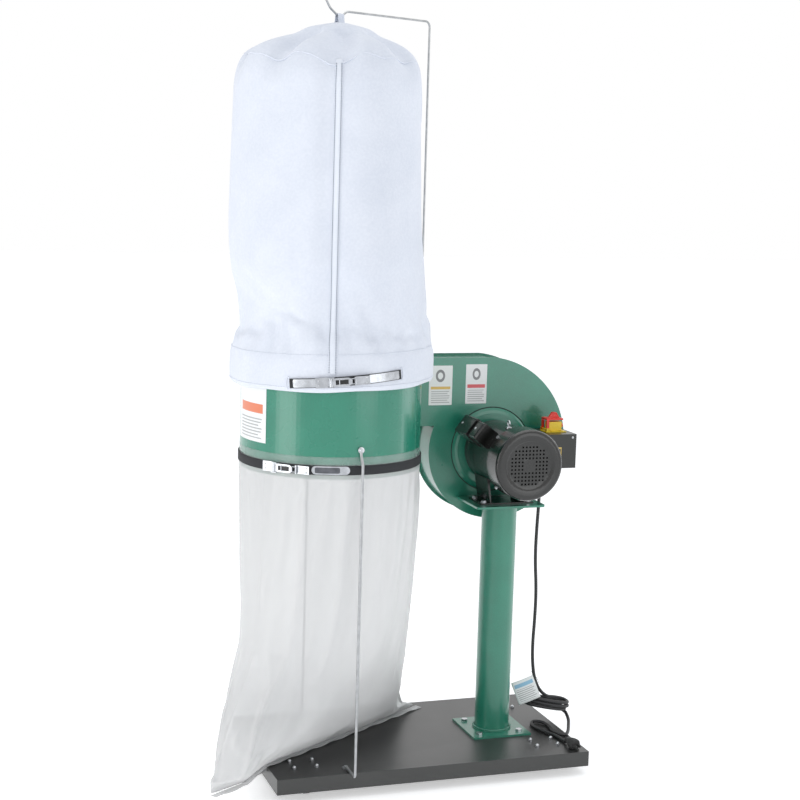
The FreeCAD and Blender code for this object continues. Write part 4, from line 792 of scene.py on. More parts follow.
# ---- the motor ------------------------------------------------------------------------------
@dataclass
class Motor:
    """Fan-cooled motor on a saddle, with its capacitor box."""

    shell_radius: float = 0.09
    box_angle: float = 142.0
    box_screw_inset: float = 0.018
    ring_place: tuple[float, float] = (-0.018, -0.045)
    plate_angles: tuple[float, float] = (15.0, 50.0)
    plate_ends: tuple[float, float] = (-0.045, 0.03)

    def build(self) -> None:
        """Dress the motor and add its small hardware."""
        for node in ("motor_shell", "fan_cover", "motor_bell_front"):
            smoothed_copy(node, MOTOR_PAINT, Body.STAND)
        dress(MOTOR_PAINT, "motor_bell_rear", "motor_foot", "capacitor_box")
        dress(ZINC, "motor_screws")
        dress(STEEL, "motor_shaft", "motor_bearings")
        dress(LAMINATION, "motor_stator", "motor_rotor")
        dress(BLACK_PLASTIC, "cooling_fan")
        dress(ALUMINIUM, "capacitor")
        self.box_screws()
        self.lifting_ring()
        self.data_plate()

    def box_screws(self) -> None:
        """Two bright screws in the capacitor box's outer face."""
        low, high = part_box("capacitor_box")
        centre = middle("motor_shell")
        screws = Piece("capacitor_box_screws")
        angle = math.radians(self.box_angle)
        out = Vector((math.cos(angle), 0, math.sin(angle)))
        reach = max((vert.co - centre).dot(out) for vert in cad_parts["capacitor_box"].data.vertices)
        for y in (low.y + self.box_screw_inset, high.y - self.box_screw_inset):
            spot = Vector((centre.x, y, centre.z)) + out * reach
            screw_head(screws, spot - out * 0.0004, out, 0.0042, 0.0026)
        screws.finish(ZINC, Body.STAND, "zinc")

    def lifting_ring(self) -> None:
        """Bright lifting eye screwed into the shell's top."""
        centre = middle("motor_shell")
        eye = Piece("motor_lifting_ring")
        spot = centre + Vector((*self.ring_place, self.shell_radius - 0.0035))
        eye.bar(spot, spot + Z_AXIS * 0.006, 0.009, sides=24, bevel=0.001)
        eye.bar(spot + Z_AXIS * 0.004, spot + Z_AXIS * 0.0085, 0.005, sides=20, bevel=0.0008)
        eye.ring(spot + Z_AXIS * 0.0155, X_AXIS, 0.0078, 0.0022, steps=36, sides=12)
        eye.finish(ZINC, Body.STAND, "zinc")

    def data_plate(self) -> None:
        """Blank ruled data plate bent round the shell's right side."""
        centre = middle("motor_shell")
        plate = Piece("motor_data_plate")
        first, last = (math.radians(angle) for angle in self.plate_angles)
        radius = self.shell_radius + 0.0006
        front, back = (centre.y + end for end in self.plate_ends)
        column = [plate.mesh.verts.new((centre.x + radius * math.cos(first), back + (front - back) * i / 6,
                                        centre.z + radius * math.sin(first))) for i in range(7)]
        edges = [plate.mesh.edges.new(pair) for pair in zip(column, column[1:])]
        bmesh.ops.spin(plate.mesh, geom=column + edges, axis=-Y_AXIS, cent=Vector((centre.x, 0, centre.z)),
                       dvec=Vector(), angle=last - first, steps=14)
        set_uv(plate.mesh, lambda spot: (
            (spot.y - front) / (back - front),
            (math.atan2(spot.z - centre.z, spot.x - centre.x) - first) / (last - first)))
        bmesh.ops.solidify(plate.mesh, geom=plate.mesh.faces[:], thickness=CARD_THICKNESS)
        plate.finish(NAME_PLATE, Body.STAND, "aluminium")


# ---- the blower -----------------------------------------------------------------------------
@dataclass
class Blower:
    """Scroll housing with its impeller, motor ring, inlet and labels."""

    wall_y: float = 0.074
    seal_radius: float = 0.0012
    rib_radius: float = 0.0009
    rib_places: tuple[float, ...] = (0.006, 0.014, 0.022)
    left_label: tuple[float, float, float, float] = (0.062, 1.031, 0.072, 0.116)
    right_label: tuple[float, float, float, float] = (0.176, 1.034, 0.066, 0.116)

    def build(self) -> None:
        """Dress the housing, impeller and inlet, and stick the two labels on."""
        for node in ("housing_front", "housing_scroll", "housing_back"):
            smoothed_copy(node, HOUSING_PAINT, Body.STAND)
        dress(HOUSING_PAINT, "motor_ring", "inlet_flange")
        dress(ZINC, "housing_screws", "impeller_screw")
        dress(STEEL, "impeller")
        smoothed_copy("inlet_adapter", PORT_PLASTIC, Body.STAND)
        smoothed_copy("inlet_cap", PORT_PLASTIC, Body.CAP)
        for name, finish, spot in (("label_left", LABEL_YELLOW, self.left_label),
                                   ("label_right", LABEL_RED, self.right_label)):
            x, z, width, height = spot
            flat_label("housing_" + name, finish, "card", Vector((x, self.wall_y, z)),
                       Vector((width, 0, 0)), Vector((0, 0, height)))
        self.seam_bead()
        self.cap_ribs()

    def seam_bead(self) -> None:
        """Fine sealant bead where the motor ring meets the front plate."""
        low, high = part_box("motor_ring")
        centre = middle("motor_ring")
        bead = Piece("motor_ring_seal")
        sunk = self.seal_radius / 2
        bead.ring((centre.x, high.y - sunk, centre.z), Y_AXIS, (high.x - low.x) / 2 + sunk, self.seal_radius,
                  steps=96, sides=8)
        bead.finish(BLACK_RUBBER, Body.STAND, "black_rubber")

    def cap_ribs(self) -> None:
        """Grip ribs round the port cap's skirt and a ring on its face."""
        low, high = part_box("inlet_cap")
        centre = middle("inlet_cap")
        radius = (high.x - low.x) / 2
        ribs = Piece("inlet_cap_ribs")
        for place in self.rib_places:
            ribs.ring((centre.x, low.y + place, centre.z), Y_AXIS, radius, self.rib_radius, steps=72, sides=8)
        ribs.ring((centre.x, high.y, centre.z), Y_AXIS, radius * 0.62, 0.001, steps=60, sides=8)
        ribs.finish(PORT_PLASTIC, Body.CAP, "port_plastic")


# ---- the separator drum ---------------------------------------------------------------------
@dataclass
class Drum:
    """Open steel drum between the two bags, with its weld seam and its label."""

    label_angles: tuple[float, float] = (-186.0, -149.5)
    label_heights: tuple[float, float] = (0.972, 1.128)
    lip: float = 0.0016
    seam_angle: float = -38.0
    seam_radius: float = 0.0011
    seam_gap: tuple[float, float] = (0.05, 0.08)

    def build(self) -> None:
        """Dress the drum, roll its lips and stick its label on."""
        smoothed_copy("drum", GREEN_PAINT, Body.STAND)
        low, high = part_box("drum")
        centre = middle("drum")
        radius = (high.x - low.x) / 2
        lips = Piece("drum_lips")
        for z in (low.z + self.lip, high.z - self.lip):
            lips.ring((centre.x, centre.y, z), Z_AXIS, radius - self.lip, self.lip, steps=128, sides=10)
        lips.finish(GREEN_PAINT, Body.STAND, "green_paint")
        seam = Piece("drum_seam")
        spot = polar(centre, radius - 0.0004, self.seam_angle, 0)
        seam.bar((spot.x, spot.y, low.z + self.seam_gap[0]), (spot.x, spot.y, high.z - self.seam_gap[1]),
                 self.seam_radius, sides=10)
        seam.finish(GREEN_PAINT, Body.STAND, "green_paint")
        round_label("drum_label", LABEL_ORANGE, "card", centre, radius + 0.0006, self.label_angles,
                    self.label_heights)


# ---- rods and hanger ------------------------------------------------------------------------
@dataclass
class Rods:
    """Two rods beside the lower bag, and the tall hanger of the upper one."""

    eye_washer: float = 0.0085
    eye_drop: float = 0.0085
    eye_height: float = 0.012

    def build(self) -> None:
        """Dress the rods and add the screws through their eyes."""
        for node in ("front_rod", "rear_rod", "hanger_rod"):
            smoothed_copy(node, STEEL, Body.STAND, angle=50)
        dress(STEEL, "hanger_bracket")
        screws = Piece("rod_eye_screws")
        for node, side in (("front_rod", -1), ("rear_rod", 1)):
            low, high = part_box(node)
            spot = Vector(((low.x + high.x) / 2, self.eye_face(node, side), high.z - self.eye_drop))
            screws.bar(spot, spot + Y_AXIS * side * 0.0014, self.eye_washer, sides=28, bevel=0.0004)
            screw_head(screws, spot + Y_AXIS * side * 0.0012, Y_AXIS * side, 0.0058, 0.0038)
        screws.finish(ZINC, Body.STAND, "zinc")

    def eye_face(self, node: str, side: int) -> float:
        """Outer Y of a rod's eye."""
        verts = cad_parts[node].data.vertices
        top = max(vert.co.z for vert in verts)
        return side * max(side * vert.co.y for vert in verts if vert.co.z > top - self.eye_height)


# ---- the switch -----------------------------------------------------------------------------
@dataclass
class SwitchBox:
    """Magnetic switch box with a locking key and a stop paddle."""

    label: tuple[float, float, float, float] = (0.40, 0.874, 0.03, 0.046)
    screw_inset: float = 0.012
    screw_drop: float = 0.010

    def build(self) -> None:
        """Dress the box and its moving pieces, and add its label and screws."""
        dress(BOX_PAINT, "switch_box")
        dress(BLACK_PLASTIC, "cord_gland")
        dress(YELLOW_PLASTIC, "switch_rocker", "switch_body")
        dress(RED_PLASTIC, "switch_key")
        smoothed_copy("switch_paddle", RED_PLASTIC, Body.PADDLE)
        low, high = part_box("switch_box")
        x, z, width, height = self.label
        flat_label("switch_label", LABEL_BOX, "card", Vector((x, low.y, z)), Vector((width, 0, 0)),
                   Vector((0, 0, height)), bevel=0.001)
        screws = Piece("switch_box_screws")
        for x in (low.x + self.screw_inset, high.x - self.screw_inset):
            spot = Vector((x, low.y + 0.0002, high.z - self.screw_drop))
            screw_head(screws, spot, -Y_AXIS, 0.0036, 0.0022)
        screws.finish(ZINC, Body.STAND, "zinc")


# ---- soft goods -----------------------------------------------------------------------------
def smooth(value: float, low: float, high: float) -> float:
    """0 below low, 1 above high, and smooth between."""
    share = min(1.0, max(0.0, (value - low) / (high - low)))
    return share * share * (3 - 2 * share)


def along_table(table: Sequence[Sequence[float]], key: float) -> list[float]:
    """Read a table of rising keys, easing between its rows."""
    for lower, upper in zip(table, table[1:]):
        if key <= upper[0]:
            share = min(1.0, max(0.0, (key - lower[0]) / (upper[0] - lower[0])))
            return [a + (b - a) * share for a, b in zip(lower[1:], upper[1:])]
    return list(table[-1][1:])


def settle(made: bpy.types.Object, pinned: Callable[[Vector], float], cap: float, grow: float,
           bending: float, frames: int, weight: float = 1.0) -> None:
    """Let a cloth mesh buckle and hang by simulation, then keep its shape.

    Args:
        made: the object, whose mesh is changed.
        pinned: 1 where a point is held and 0 where it is free.
        cap: how far a point may move in metres.
        grow: how much larger the cloth is than its start, as a share.
        bending: its bending stiffness.
        frames: how many frames it runs.
        weight: share of gravity.
    """
    scene = bpy.context.scene
    group = made.vertex_groups.new(name="held")
    start = [vert.co.copy() for vert in made.data.vertices]
    for index, spot in enumerate(start):
        held = pinned(spot)
        if held > 0:
            group.add([index], held, "REPLACE")
    cloth = made.modifiers.new("hang", "CLOTH")
    for setting, value in CLOTH_SETTINGS.items():
        setattr(cloth.settings, setting, value)
    cloth.settings.bending_stiffness = bending
    cloth.settings.shrink_min = -grow
    cloth.settings.vertex_group_mass = group.name
    cloth.settings.effector_weights.gravity = weight
    cloth.collision_settings.use_collision = False
    cloth.point_cache.frame_end = frames
    scene.frame_start, scene.frame_end = 1, frames
    for step in range(1, frames + 1):
        scene.frame_set(step)
    hung = made.evaluated_get(bpy.context.evaluated_depsgraph_get()).data
    moved = [vert.co.copy() for vert in hung.vertices]
    made.modifiers.remove(cloth)
    made.vertex_groups.remove(group)
    for vert, before, after in zip(made.data.vertices, start, moved):
        shift = after - before
        vert.co = before + shift * min(1.0, cap / max(shift.length, 1e-9))
    scene.frame_set(1)


def close_shell(made: bpy.types.Object, thickness: float, levels: int, offset: float = -1.0) -> None:
    """Give a sheet its subdivision and its wall, as applied modifiers.

    Args:
        made: the object.
        thickness: the wall in metres.
        levels: how often it is subdivided.
        offset: -1 puts the wall inside the sheet and 1 outside.
    """
    if levels:
        fine = made.modifiers.new("fine", "SUBSURF")
        fine.levels = fine.render_levels = levels
    wall = made.modifiers.new("wall", "SOLIDIFY")
    wall.thickness, wall.offset = thickness, offset
    apply_modifiers(made)


def apply_modifiers(made: bpy.types.Object) -> None:
    """Turn an object's modifiers into its mesh."""
    data = bpy.data.meshes.new_from_object(made.evaluated_get(bpy.context.evaluated_depsgraph_get()))
    made.modifiers.clear()
    made.data = data
    data.shade_smooth()


def link(made: bpy.types.Object) -> bpy.types.Object:
    """Put an object in the scene so that it can be evaluated."""
    bpy.context.scene.collection.objects.link(made)
    return made


def sheet_object(name: str, mesh: bmesh.types.BMesh) -> bpy.types.Object:
    """Turn a bmesh into a linked, smooth-shaded object."""
    data = bpy.data.meshes.new(name)
    mesh.to_mesh(data)
    mesh.free()
    data.shade_smooth()
    return link(bpy.data.objects.new(name, data))


def tube_along(name: str, points: Sequence[Vector], radius: float, cyclic: bool = False,
               resolution: int = 3) -> bpy.types.Object:
    """Round cord or wire along a smooth line, as a mesh.

    Args:
        name: the object's name.
        points: control points of its line.
        radius: its radius.
        cyclic: whether it closes on itself.
        resolution: segments of the bevel.

    Returns:
        The mesh object.
    """
    curve = bpy.data.curves.new(name + "_line", "CURVE")
    curve.dimensions = "3D"
    curve.bevel_depth, curve.bevel_resolution, curve.use_fill_caps = radius, resolution, True
    curve.resolution_u = 4
    spline = curve.splines.new("NURBS")
    spline.points.add(len(points) - 1)
    for control, spot in zip(spline.points, points):
        control.co = (*spot, 1.0)
    spline.order_u = 3
    spline.use_endpoint_u = not cyclic
    spline.use_cyclic_u = cyclic
    carrier = link(bpy.data.objects.new(name + "_line", curve))
    bpy.context.view_layer.update()
    data = bpy.data.meshes.new_from_object(carrier.evaluated_get(bpy.context.evaluated_depsgraph_get()))
    bpy.data.objects.remove(carrier)
    data.shade_smooth()
    return link(bpy.data.objects.new(name, data))


@dataclass
class FilterBag:
    """Felt bag clamped round the drum's upper edge and hung from the hanger's hook."""

    around: int = 168
    felt: float = 0.0025
    lean: float = 0.022
    seam_angle: float = -106.0
    seam_half_width: float = 0.0105
    stitch_pitch: float = 0.0062
    strip_foot: float = 1.173
    thread: float = 0.0011
    strap_height: float = 1.160
    strap_tilt: float = 5.0
    slits: tuple[tuple[str, float], ...] = (("left", -130.0), ("right", -65.0))
    scallops: int = 8
    scallop_start: float = 0.9
    tape: float = 0.0014
    arm: tuple[float, float, float] = (0.308, 0.144, 0)
    shoulder: float = 1.944
    # radius outside the drum's axis and height of each ring, from the hem's fold to the peak
    outline: tuple[tuple[float, float], ...] = (
        (0.2535, 1.142), (0.2600, 1.1275), (0.2700, 1.1215), (0.2765, 1.1240), (0.2795, 1.1340),
        (0.2800, 1.150), (0.2802, 1.170), (0.2800, 1.190), (0.2790, 1.206), (0.2765, 1.219),
        (0.2730, 1.229), (0.2705, 1.240), (0.2680, 1.256))
    # radius and height above the straight wall
    top: tuple[tuple[float, float], ...] = (
        (0.2640, 1.930), (0.2632, 1.946), (0.2612, 1.962), (0.2580, 1.977), (0.2535, 1.991),
        (0.2475, 2.004), (0.2400, 2.015), (0.2310, 2.024), (0.2210, 2.0315), (0.2080, 2.039),
        (0.1900, 2.047), (0.1700, 2.0545), (0.1500, 2.0610), (0.1300, 2.0665), (0.1100, 2.0715),
        (0.0900, 2.0762), (0.0700, 2.0806), (0.0500, 2.0850), (0.0300, 2.0895), (0.0140, 2.0925),
        (0.0, 2.0935))

    def build(self) -> None:
        """Model, hang and sew the bag."""
        self.centre = middle("drum")
        bag = self.shell()
        settle(bag, self.held, cap=0.013, grow=0.022, bending=1.6, frames=18, weight=0.6)
        close_shell(bag, self.felt, levels=1)
        register(bag, WHITE_FELT, Body.STAND)
        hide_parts("filter_bag")
        self.surface = bag
        strip, thread = self.seam_strip(), self.seam_stitches()
        # seam tape in lighter felt: partly its own felt, partly a painted highlight on the proud strip
        register(strip, SEAM_FELT_AND_HIGHLIGHT, Body.STAND)
        # grey stitches: thread that also paints the shade lines along the strip's edges
        register(thread, GREY_THREAD_AND_EDGE_SHADE, Body.STAND)
        sewn = [self.top_seam(), self.hem_stitches(), self.loop(), *self.slit_welts()]
        for piece in sewn:
            register(piece, WHITE_FELT, Body.STAND)

    def held(self, spot: Vector) -> float:
        """The hem and the peak don't move."""
        return max(1 - smooth(spot.z, 1.225, 1.29), smooth(spot.z, 2.055, 2.085))

    def shell(self) -> bpy.types.Object:
        """Spin the bag's outline and shape it into hanging felt."""
        wall_start, wall_end, rows = 1.256, 1.930, 46
        wall = [(0.2665 - 0.0025 * i / rows, wall_start + (wall_end - wall_start) * i / rows)
                for i in range(1, rows)]
        skin = Piece("filter_bag_felt")
        skin.turned(list(self.outline) + wall + list(self.top), (self.centre.x, self.centre.y, 0), Z_AXIS,
                    self.around)
        for vert in skin.mesh.verts:
            vert.co = self.shaped(vert.co)
        bmesh.ops.recalc_face_normals(skin.mesh, faces=skin.mesh.faces)
        return sheet_object(skin.name, skin.mesh)

    def shaped(self, spot: Vector) -> Vector:
        """Lean, sag and fold one point of the turned shape."""
        away = Vector((spot.x - self.centre.x, spot.y - self.centre.y, 0))
        radius = away.length
        turn = math.atan2(away.y, away.x)
        wall = smooth(spot.z, 1.24, 1.36) * (1 - smooth(spot.z, 2.03, 2.09))
        drift = noise(Vector((turn * 1.5, spot.z * 3.0, 2.0)))
        folds = (0.0045 * math.sin(3 * turn + 0.7 + 2.2 * spot.z)
                 + 0.0030 * math.sin(5 * turn - 1.1 - 3.0 * spot.z)
                 + 0.0022 * math.sin(9 * turn + 4.0 * spot.z) + 0.006 * drift)
        ruck = 0.004 * (1 - smooth(spot.z, 1.25, 1.42)) * smooth(spot.z, 1.215, 1.25)
        folds = folds * wall + ruck * math.sin(23 * turn + 2.5 * noise(Vector((turn * 3, spot.z * 6, 0))))
        beside = (math.degrees(turn) - self.seam_angle + 180) % 360 - 180
        folds -= wall * (0.009 * math.exp(-(beside / 7) ** 2) - 0.005 * math.exp(-((beside - 19) / 9) ** 2))
        hem = 1 - smooth(spot.z, 1.20, 1.24)
        folds += 0.0016 * hem * math.sin(13 * turn + 1.0)
        shoulder = smooth(spot.z, 1.88, 1.99) * smooth(radius, 0.03, 0.2)
        scallop = 0.5 + 0.5 * math.cos(self.scallops * turn + self.scallop_start)
        drop = shoulder * (0.034 * scallop ** 2 + 0.006 * noise(Vector((turn * 2.2, 5.0, 0.0))))
        leaning = smooth(spot.z, 1.28, 1.62) * (1 - smooth(spot.z, 2.02, 2.095))
        out = away.normalized() if radius > 1e-6 else Vector()
        moved = spot + out * folds
        moved.z -= drop
        moved.z += hem * (0.004 + 0.0075 * math.cos(turn) + 0.0015 * math.sin(7 * turn))
        moved.x -= self.lean * leaning
        return moved

    def on_felt(self, angle: float, height: float, proud: float = 0.0) -> Vector:
        """Point of the felt's outside at an angle in degrees and a height."""
        far = polar(self.centre, 0.6, angle, height)
        inward = (Vector((self.centre.x, self.centre.y, height)) - far).normalized()
        hit, spot, normal, _ = self.surface.ray_cast(far, inward)
        return spot + normal * proud if hit else far

    def down_felt(self, x: float, y: float, proud: float = 0.0) -> Vector:
        """Point of the felt's top under a place."""
        hit, spot, normal, _ = self.surface.ray_cast(Vector((x, y, 2.6)), -Z_AXIS)
        return spot + normal * proud if hit else Vector((x, y, 2.05))

    def seam_strip(self) -> bpy.types.Object:
        """Folded strip over the vertical seam; its lighter felt, set in build, is partly a painted highlight.
        """
        strip = Piece("filter_bag_seam_strip")
        rows = 110
        columns = 4
        half = math.degrees(self.seam_half_width / 0.266)
        made = bmesh.ops.create_grid(strip.mesh, x_segments=columns, y_segments=rows, size=1.0)["verts"]
        low, high = self.strip_foot, self.shoulder + 0.036
        for vert in made:
            edge = abs(vert.co.x)
            height = low + (high - low) * (vert.co.y + 1) / 2
            proud = 0.0026 if edge < 0.9 else 0.0006
            vert.co = self.on_felt(self.seam_angle + vert.co.x * half, height, proud)
        bmesh.ops.recalc_face_normals(strip.mesh, faces=strip.mesh.faces)
        made = sheet_object(strip.name, strip.mesh)
        close_shell(made, self.tape, levels=1, offset=0.0)
        return made

    def stitches(self, piece: Piece, ends: Iterable[tuple[tuple[float, float], tuple[float, float]]],
                 proud: float) -> None:
        """Add lock stitches of thread, each between two places given by angle and height."""
        for first, second in ends:
            piece.bar(self.on_felt(*first, proud), self.on_felt(*second, proud), self.thread, sides=6)

    def seam_stitches(self) -> bpy.types.Object:
        """Two rows of thread along the vertical seam, whose grey also paints the shade lines along the
        strip's edges.
        """
        thread = Piece("filter_bag_seam_stitches")
        low, high = self.strip_foot + 0.004, self.shoulder + 0.03
        heights = [low + i * self.stitch_pitch for i in range(int((high - low) / self.stitch_pitch))]
        for side in (-0.78, 0.78):
            angle = self.seam_angle + side * math.degrees(self.seam_half_width / 0.266)
            ends = [((angle, height), (angle, height + self.stitch_pitch * 0.62)) for height in heights]
            self.stitches(thread, ends, 0.0031)
        return sheet_object(thread.name, thread.mesh)

    def top_seam(self) -> bpy.types.Object:
        """Rolled seam that joins the wall to the top panel and dips between its gathers."""
        points = []
        count = 64
        for i in range(count):
            turn = 2 * math.pi * i / count
            radius = 0.236 - 0.008 * math.cos(self.scallops * turn + self.scallop_start)
            x = self.centre.x - self.lean * 0.72 + radius * math.cos(turn)
            y = self.centre.y + radius * math.sin(turn)
            points.append(self.down_felt(x, y, 0.0008))
        return tube_along("filter_bag_top_seam", points, 0.0019, cyclic=True)

    def hem_stitches(self) -> bpy.types.Object:
        """Two rows of thread that close the hem's channel."""
        thread = Piece("filter_bag_hem_stitches")
        step = math.degrees(self.stitch_pitch * 1.25 / 0.28)
        angles = [i * step for i in range(int(360 / step))]
        for row in (1.136, 1.221):
            heights = [row + (0.004 + 0.0075 * math.cos(math.radians(angle))) for angle in angles]
            ends = [((angle, height), (angle + step * 0.6, height)) for angle, height in zip(angles, heights)]
            self.stitches(thread, ends, 0.0004)
        return sheet_object(thread.name, thread.mesh)

    def slit_welts(self) -> list[bpy.types.Object]:
        """Rolled edges of the two slits where the band strap comes out."""
        welts = []
        half_angle, half_height, count = 1.1, 0.0175, 16
        for name, angle in self.slits:
            lift = math.tan(math.radians(self.strap_tilt)) * 0.28 * math.cos(math.radians(angle))
            points = []
            for i in range(count):
                turn = 2 * math.pi * i / count
                height = self.strap_height + lift + half_height * math.sin(turn)
                points.append(self.on_felt(angle + half_angle * math.cos(turn), height, 0.0004))
            welts.append(tube_along("filter_bag_slit_" + name, points, 0.0017, cyclic=True, resolution=2))
        return welts

    def loop(self) -> bpy.types.Object:
        """Gathered tape loop over the hanger's hook."""
        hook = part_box("hanger_rod")
        arm = Vector(self.arm).normalized()
        side = Vector((-arm.y, arm.x, 0))
        foot, top, half, width = 2.086, 2.1165, 0.0062, 0.011
        tape = Piece("filter_bag_loop")
        outline = [(-half * 2.4, foot), (-half * 1.25, foot + 0.006), (-half, foot + 0.014)]
        turns = [math.pi * i / 8 for i in range(9)]
        outline += [(-half * math.cos(turn), top - half + half * math.sin(turn)) for turn in turns]
        outline += [(half, foot + 0.014), (half * 1.25, foot + 0.006), (half * 2.4, foot)]
        base = Vector((self.centre.x, self.centre.y, 0))
        first = [tape.mesh.verts.new(base - arm * width + side * across + Z_AXIS * height)
                 for across, height in outline]
        last = [tape.mesh.edges.new(pair) for pair in zip(first, first[1:])]
        for _ in range(6):
            made = bmesh.ops.extrude_edge_only(tape.mesh, edges=last)["geom"]
            last = [item for item in made if isinstance(item, bmesh.types.BMEdge)]
            new = [item for item in made if isinstance(item, bmesh.types.BMVert)]
            bmesh.ops.translate(tape.mesh, verts=new, vec=arm * width / 3)
        for vert in tape.mesh.verts:
            spread = (vert.co - base).dot(arm) / width
            vert.co += side * 0.0007 * math.sin(spread * 7) + Z_AXIS * 0.0008 * math.cos(spread * 5)
            vert.co.z = min(vert.co.z, hook[1].z + 0.001)
        made = sheet_object(tape.name, tape.mesh)
        close_shell(made, self.tape, levels=1, offset=0.0)
        return made


@dataclass
class CollectionBag:
    """Clear film bag clamped under the drum, its flat bottom seal lying on the deck."""

    around: int = 200
    film: float = 0.0004
    deck: float = 0.0712
    deck_left: float = -0.46
    most_droop: float = 0.03
    seal_half: float = 0.011
    # height, left and right half length, half thickness, direction in degrees, shift in X and Y
    levels: tuple[tuple[float, ...], ...] = (
        (0.0745, 0.4450, 0.4520, 0.0050, 33.5, -0.002, 0.024),
        (0.0840, 0.4460, 0.4300, 0.0180, 33.5, -0.002, 0.022),
        (0.1100, 0.4460, 0.3720, 0.0580, 33.4, -0.002, 0.014),
        (0.1600, 0.4300, 0.3360, 0.0980, 33.2, -0.002, 0.006),
        (0.2300, 0.4000, 0.3120, 0.1320, 33.0, -0.002, 0.002),
        (0.3300, 0.3380, 0.2860, 0.1720, 32.7, -0.001, 0.0),
        (0.4200, 0.2860, 0.2680, 0.2020, 32.5, 0.0, 0.0),
        (0.5200, 0.2660, 0.2580, 0.2220, 32.5, 0.0, 0.0),
        (0.6400, 0.2580, 0.2560, 0.2400, 32.5, 0.0, 0.0),
        (0.7600, 0.2550, 0.2550, 0.2500, 32.5, 0.0, 0.0),
        (0.8400, 0.2545, 0.2545, 0.2530, 32.5, 0.0, 0.0),
        (0.8900, 0.2516, 0.2516, 0.2516, 32.5, 0.0, 0.0),
        (0.9500, 0.2516, 0.2516, 0.2516, 32.5, 0.0, 0.0))
    # creases: turn along the section in degrees and height of both ends, half width, depth
    creases: tuple[tuple[float, ...], ...] = (
        (188.0, 0.115, 232.0, 0.150, 0.020, 0.010), (196.0, 0.205, 244.0, 0.128, 0.022, 0.011),
        (204.0, 0.335, 216.0, 0.110, 0.020, 0.009), (236.0, 0.090, 268.0, 0.165, 0.020, 0.009),
        (207.0, 0.860, 208.0, 0.300, 0.055, 0.010), (232.0, 0.850, 234.0, 0.340, 0.050, 0.008),
        (205.0, 0.822, 240.0, 0.808, 0.030, 0.009), (206.0, 0.612, 236.0, 0.606, 0.030, 0.009),
        (318.0, 0.860, 312.0, 0.200, 0.060, 0.011), (336.0, 0.700, 332.0, 0.300, 0.045, 0.008),
        (345.0, 0.250, 352.0, 0.110, 0.022, 0.010), (20.0, 0.520, 40.0, 0.200, 0.045, 0.009),
        (70.0, 0.600, 90.0, 0.240, 0.050, 0.009), (120.0, 0.480, 150.0, 0.160, 0.045, 0.010),
        (160.0, 0.330, 176.0, 0.120, 0.024, 0.010))

    def build(self) -> None:
        """Model the film, crease it and seal its bottom."""
        self.centre = middle("drum")
        bag = self.shell()
        settle(bag, self.held, cap=0.012, grow=0.012, bending=1.4, frames=16, weight=0.5)
        self.rest_on_deck(bag)
        close_shell(bag, self.film, levels=1)
        register(bag, CLEAR_FILM, Body.STAND)
        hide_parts("collection_bag")
        seal = self.seal()
        register(seal, CLEAR_FILM, Body.STAND)

    def section(self, height: float, turn: float) -> Vector:
        """Point of the bag's wall at a height and a turn along its section."""
        left, right, thick, heading, shift_x, shift_y = along_table(self.levels, height)
        flat = smooth(0.40 - height, 0.0, 0.33)
        power = 1.0 + 0.25 * flat
        cos, sin = math.cos(turn), math.sin(turn)
        along = (right if cos > 0 else left) * math.copysign(abs(cos) ** (1 / power), cos)
        across = thick * math.copysign(abs(sin) ** power, sin)
        head = math.radians(heading)
        spot = Vector((along * math.cos(head) - across * math.sin(head),
                       along * math.sin(head) + across * math.cos(head), height))
        return spot + Vector((self.centre.x + shift_x, self.centre.y + shift_y, 0))

    def held(self, spot: Vector) -> float:
        """The clamped rim and the bottom seal don't move."""
        return max(smooth(spot.z, 0.875, 0.9), 1 - smooth(spot.z, 0.085, 0.12))

    def shell(self) -> bpy.types.Object:
        """Wrap a spun net of points onto the bag's sections and close its bottom."""
        rows = 78
        low, high = self.levels[0][0], self.levels[-1][0]
        heights = [low + (high - low) * (i / rows) ** 1.12 for i in range(rows + 1)]
        net = Piece("collection_bag_film")
        net.turned([(0.3, height) for height in heights], (0, 0, 0), Z_AXIS, self.around)
        for vert in net.mesh.verts:
            turn = math.atan2(vert.co.y, vert.co.x)
            vert.co = self.creased(turn, vert.co.z)
        floor = [edge for edge in net.mesh.edges
                 if edge.is_boundary and (edge.verts[0].co.z + edge.verts[1].co.z) / 2 < 0.09]
        bmesh.ops.holes_fill(net.mesh, edges=floor, sides=0)
        bmesh.ops.recalc_face_normals(net.mesh, faces=net.mesh.faces)
        return sheet_object(net.name, net.mesh)

    def creased(self, turn: float, height: float) -> Vector:
        """Point of the wall with its creases and slow waves."""
        spot = self.section(height, turn)
        free = smooth(0.885 - height, 0.0, 0.08) * smooth(height, 0.08, 0.13)
        near = self.section(height, turn + 0.01) - self.section(height, turn - 0.01)
        out = near.cross(Z_AXIS).normalized()
        arc = near.length / 0.02
        shift = 0.006 * noise(Vector((turn * 1.6, height * 4.0, 7.0))) + 0.003 * noise(
            Vector((turn * 4.0, height * 7.0, 3.0)))
        degrees = math.degrees(turn) % 360
        for start, top, end, foot, half, depth in self.creases:
            if not min(top, foot) - 0.04 < height < max(top, foot) + 0.04:
                continue
            share = min(1.0, max(0.0, (height - top) / (foot - top)))
            apart = (degrees - (start + (end - start) * share) + 180) % 360 - 180
            away = abs(math.radians(apart)) * arc / half
            fade = smooth(height, min(top, foot) - 0.04, min(top, foot) + 0.03) * (
                1 - smooth(height, max(top, foot) - 0.03, max(top, foot) + 0.04))
            if away < 1:
                shift += depth * fade * ((1 - away) ** 1.6 - 0.25 * math.sin(math.pi * away))
        return spot + out * shift * free

    def droop(self, over: float) -> float:
        """How far the film hangs down at a distance past the deck's left edge."""
        return min(self.most_droop, 5.0 * max(0.0, over) ** 2)

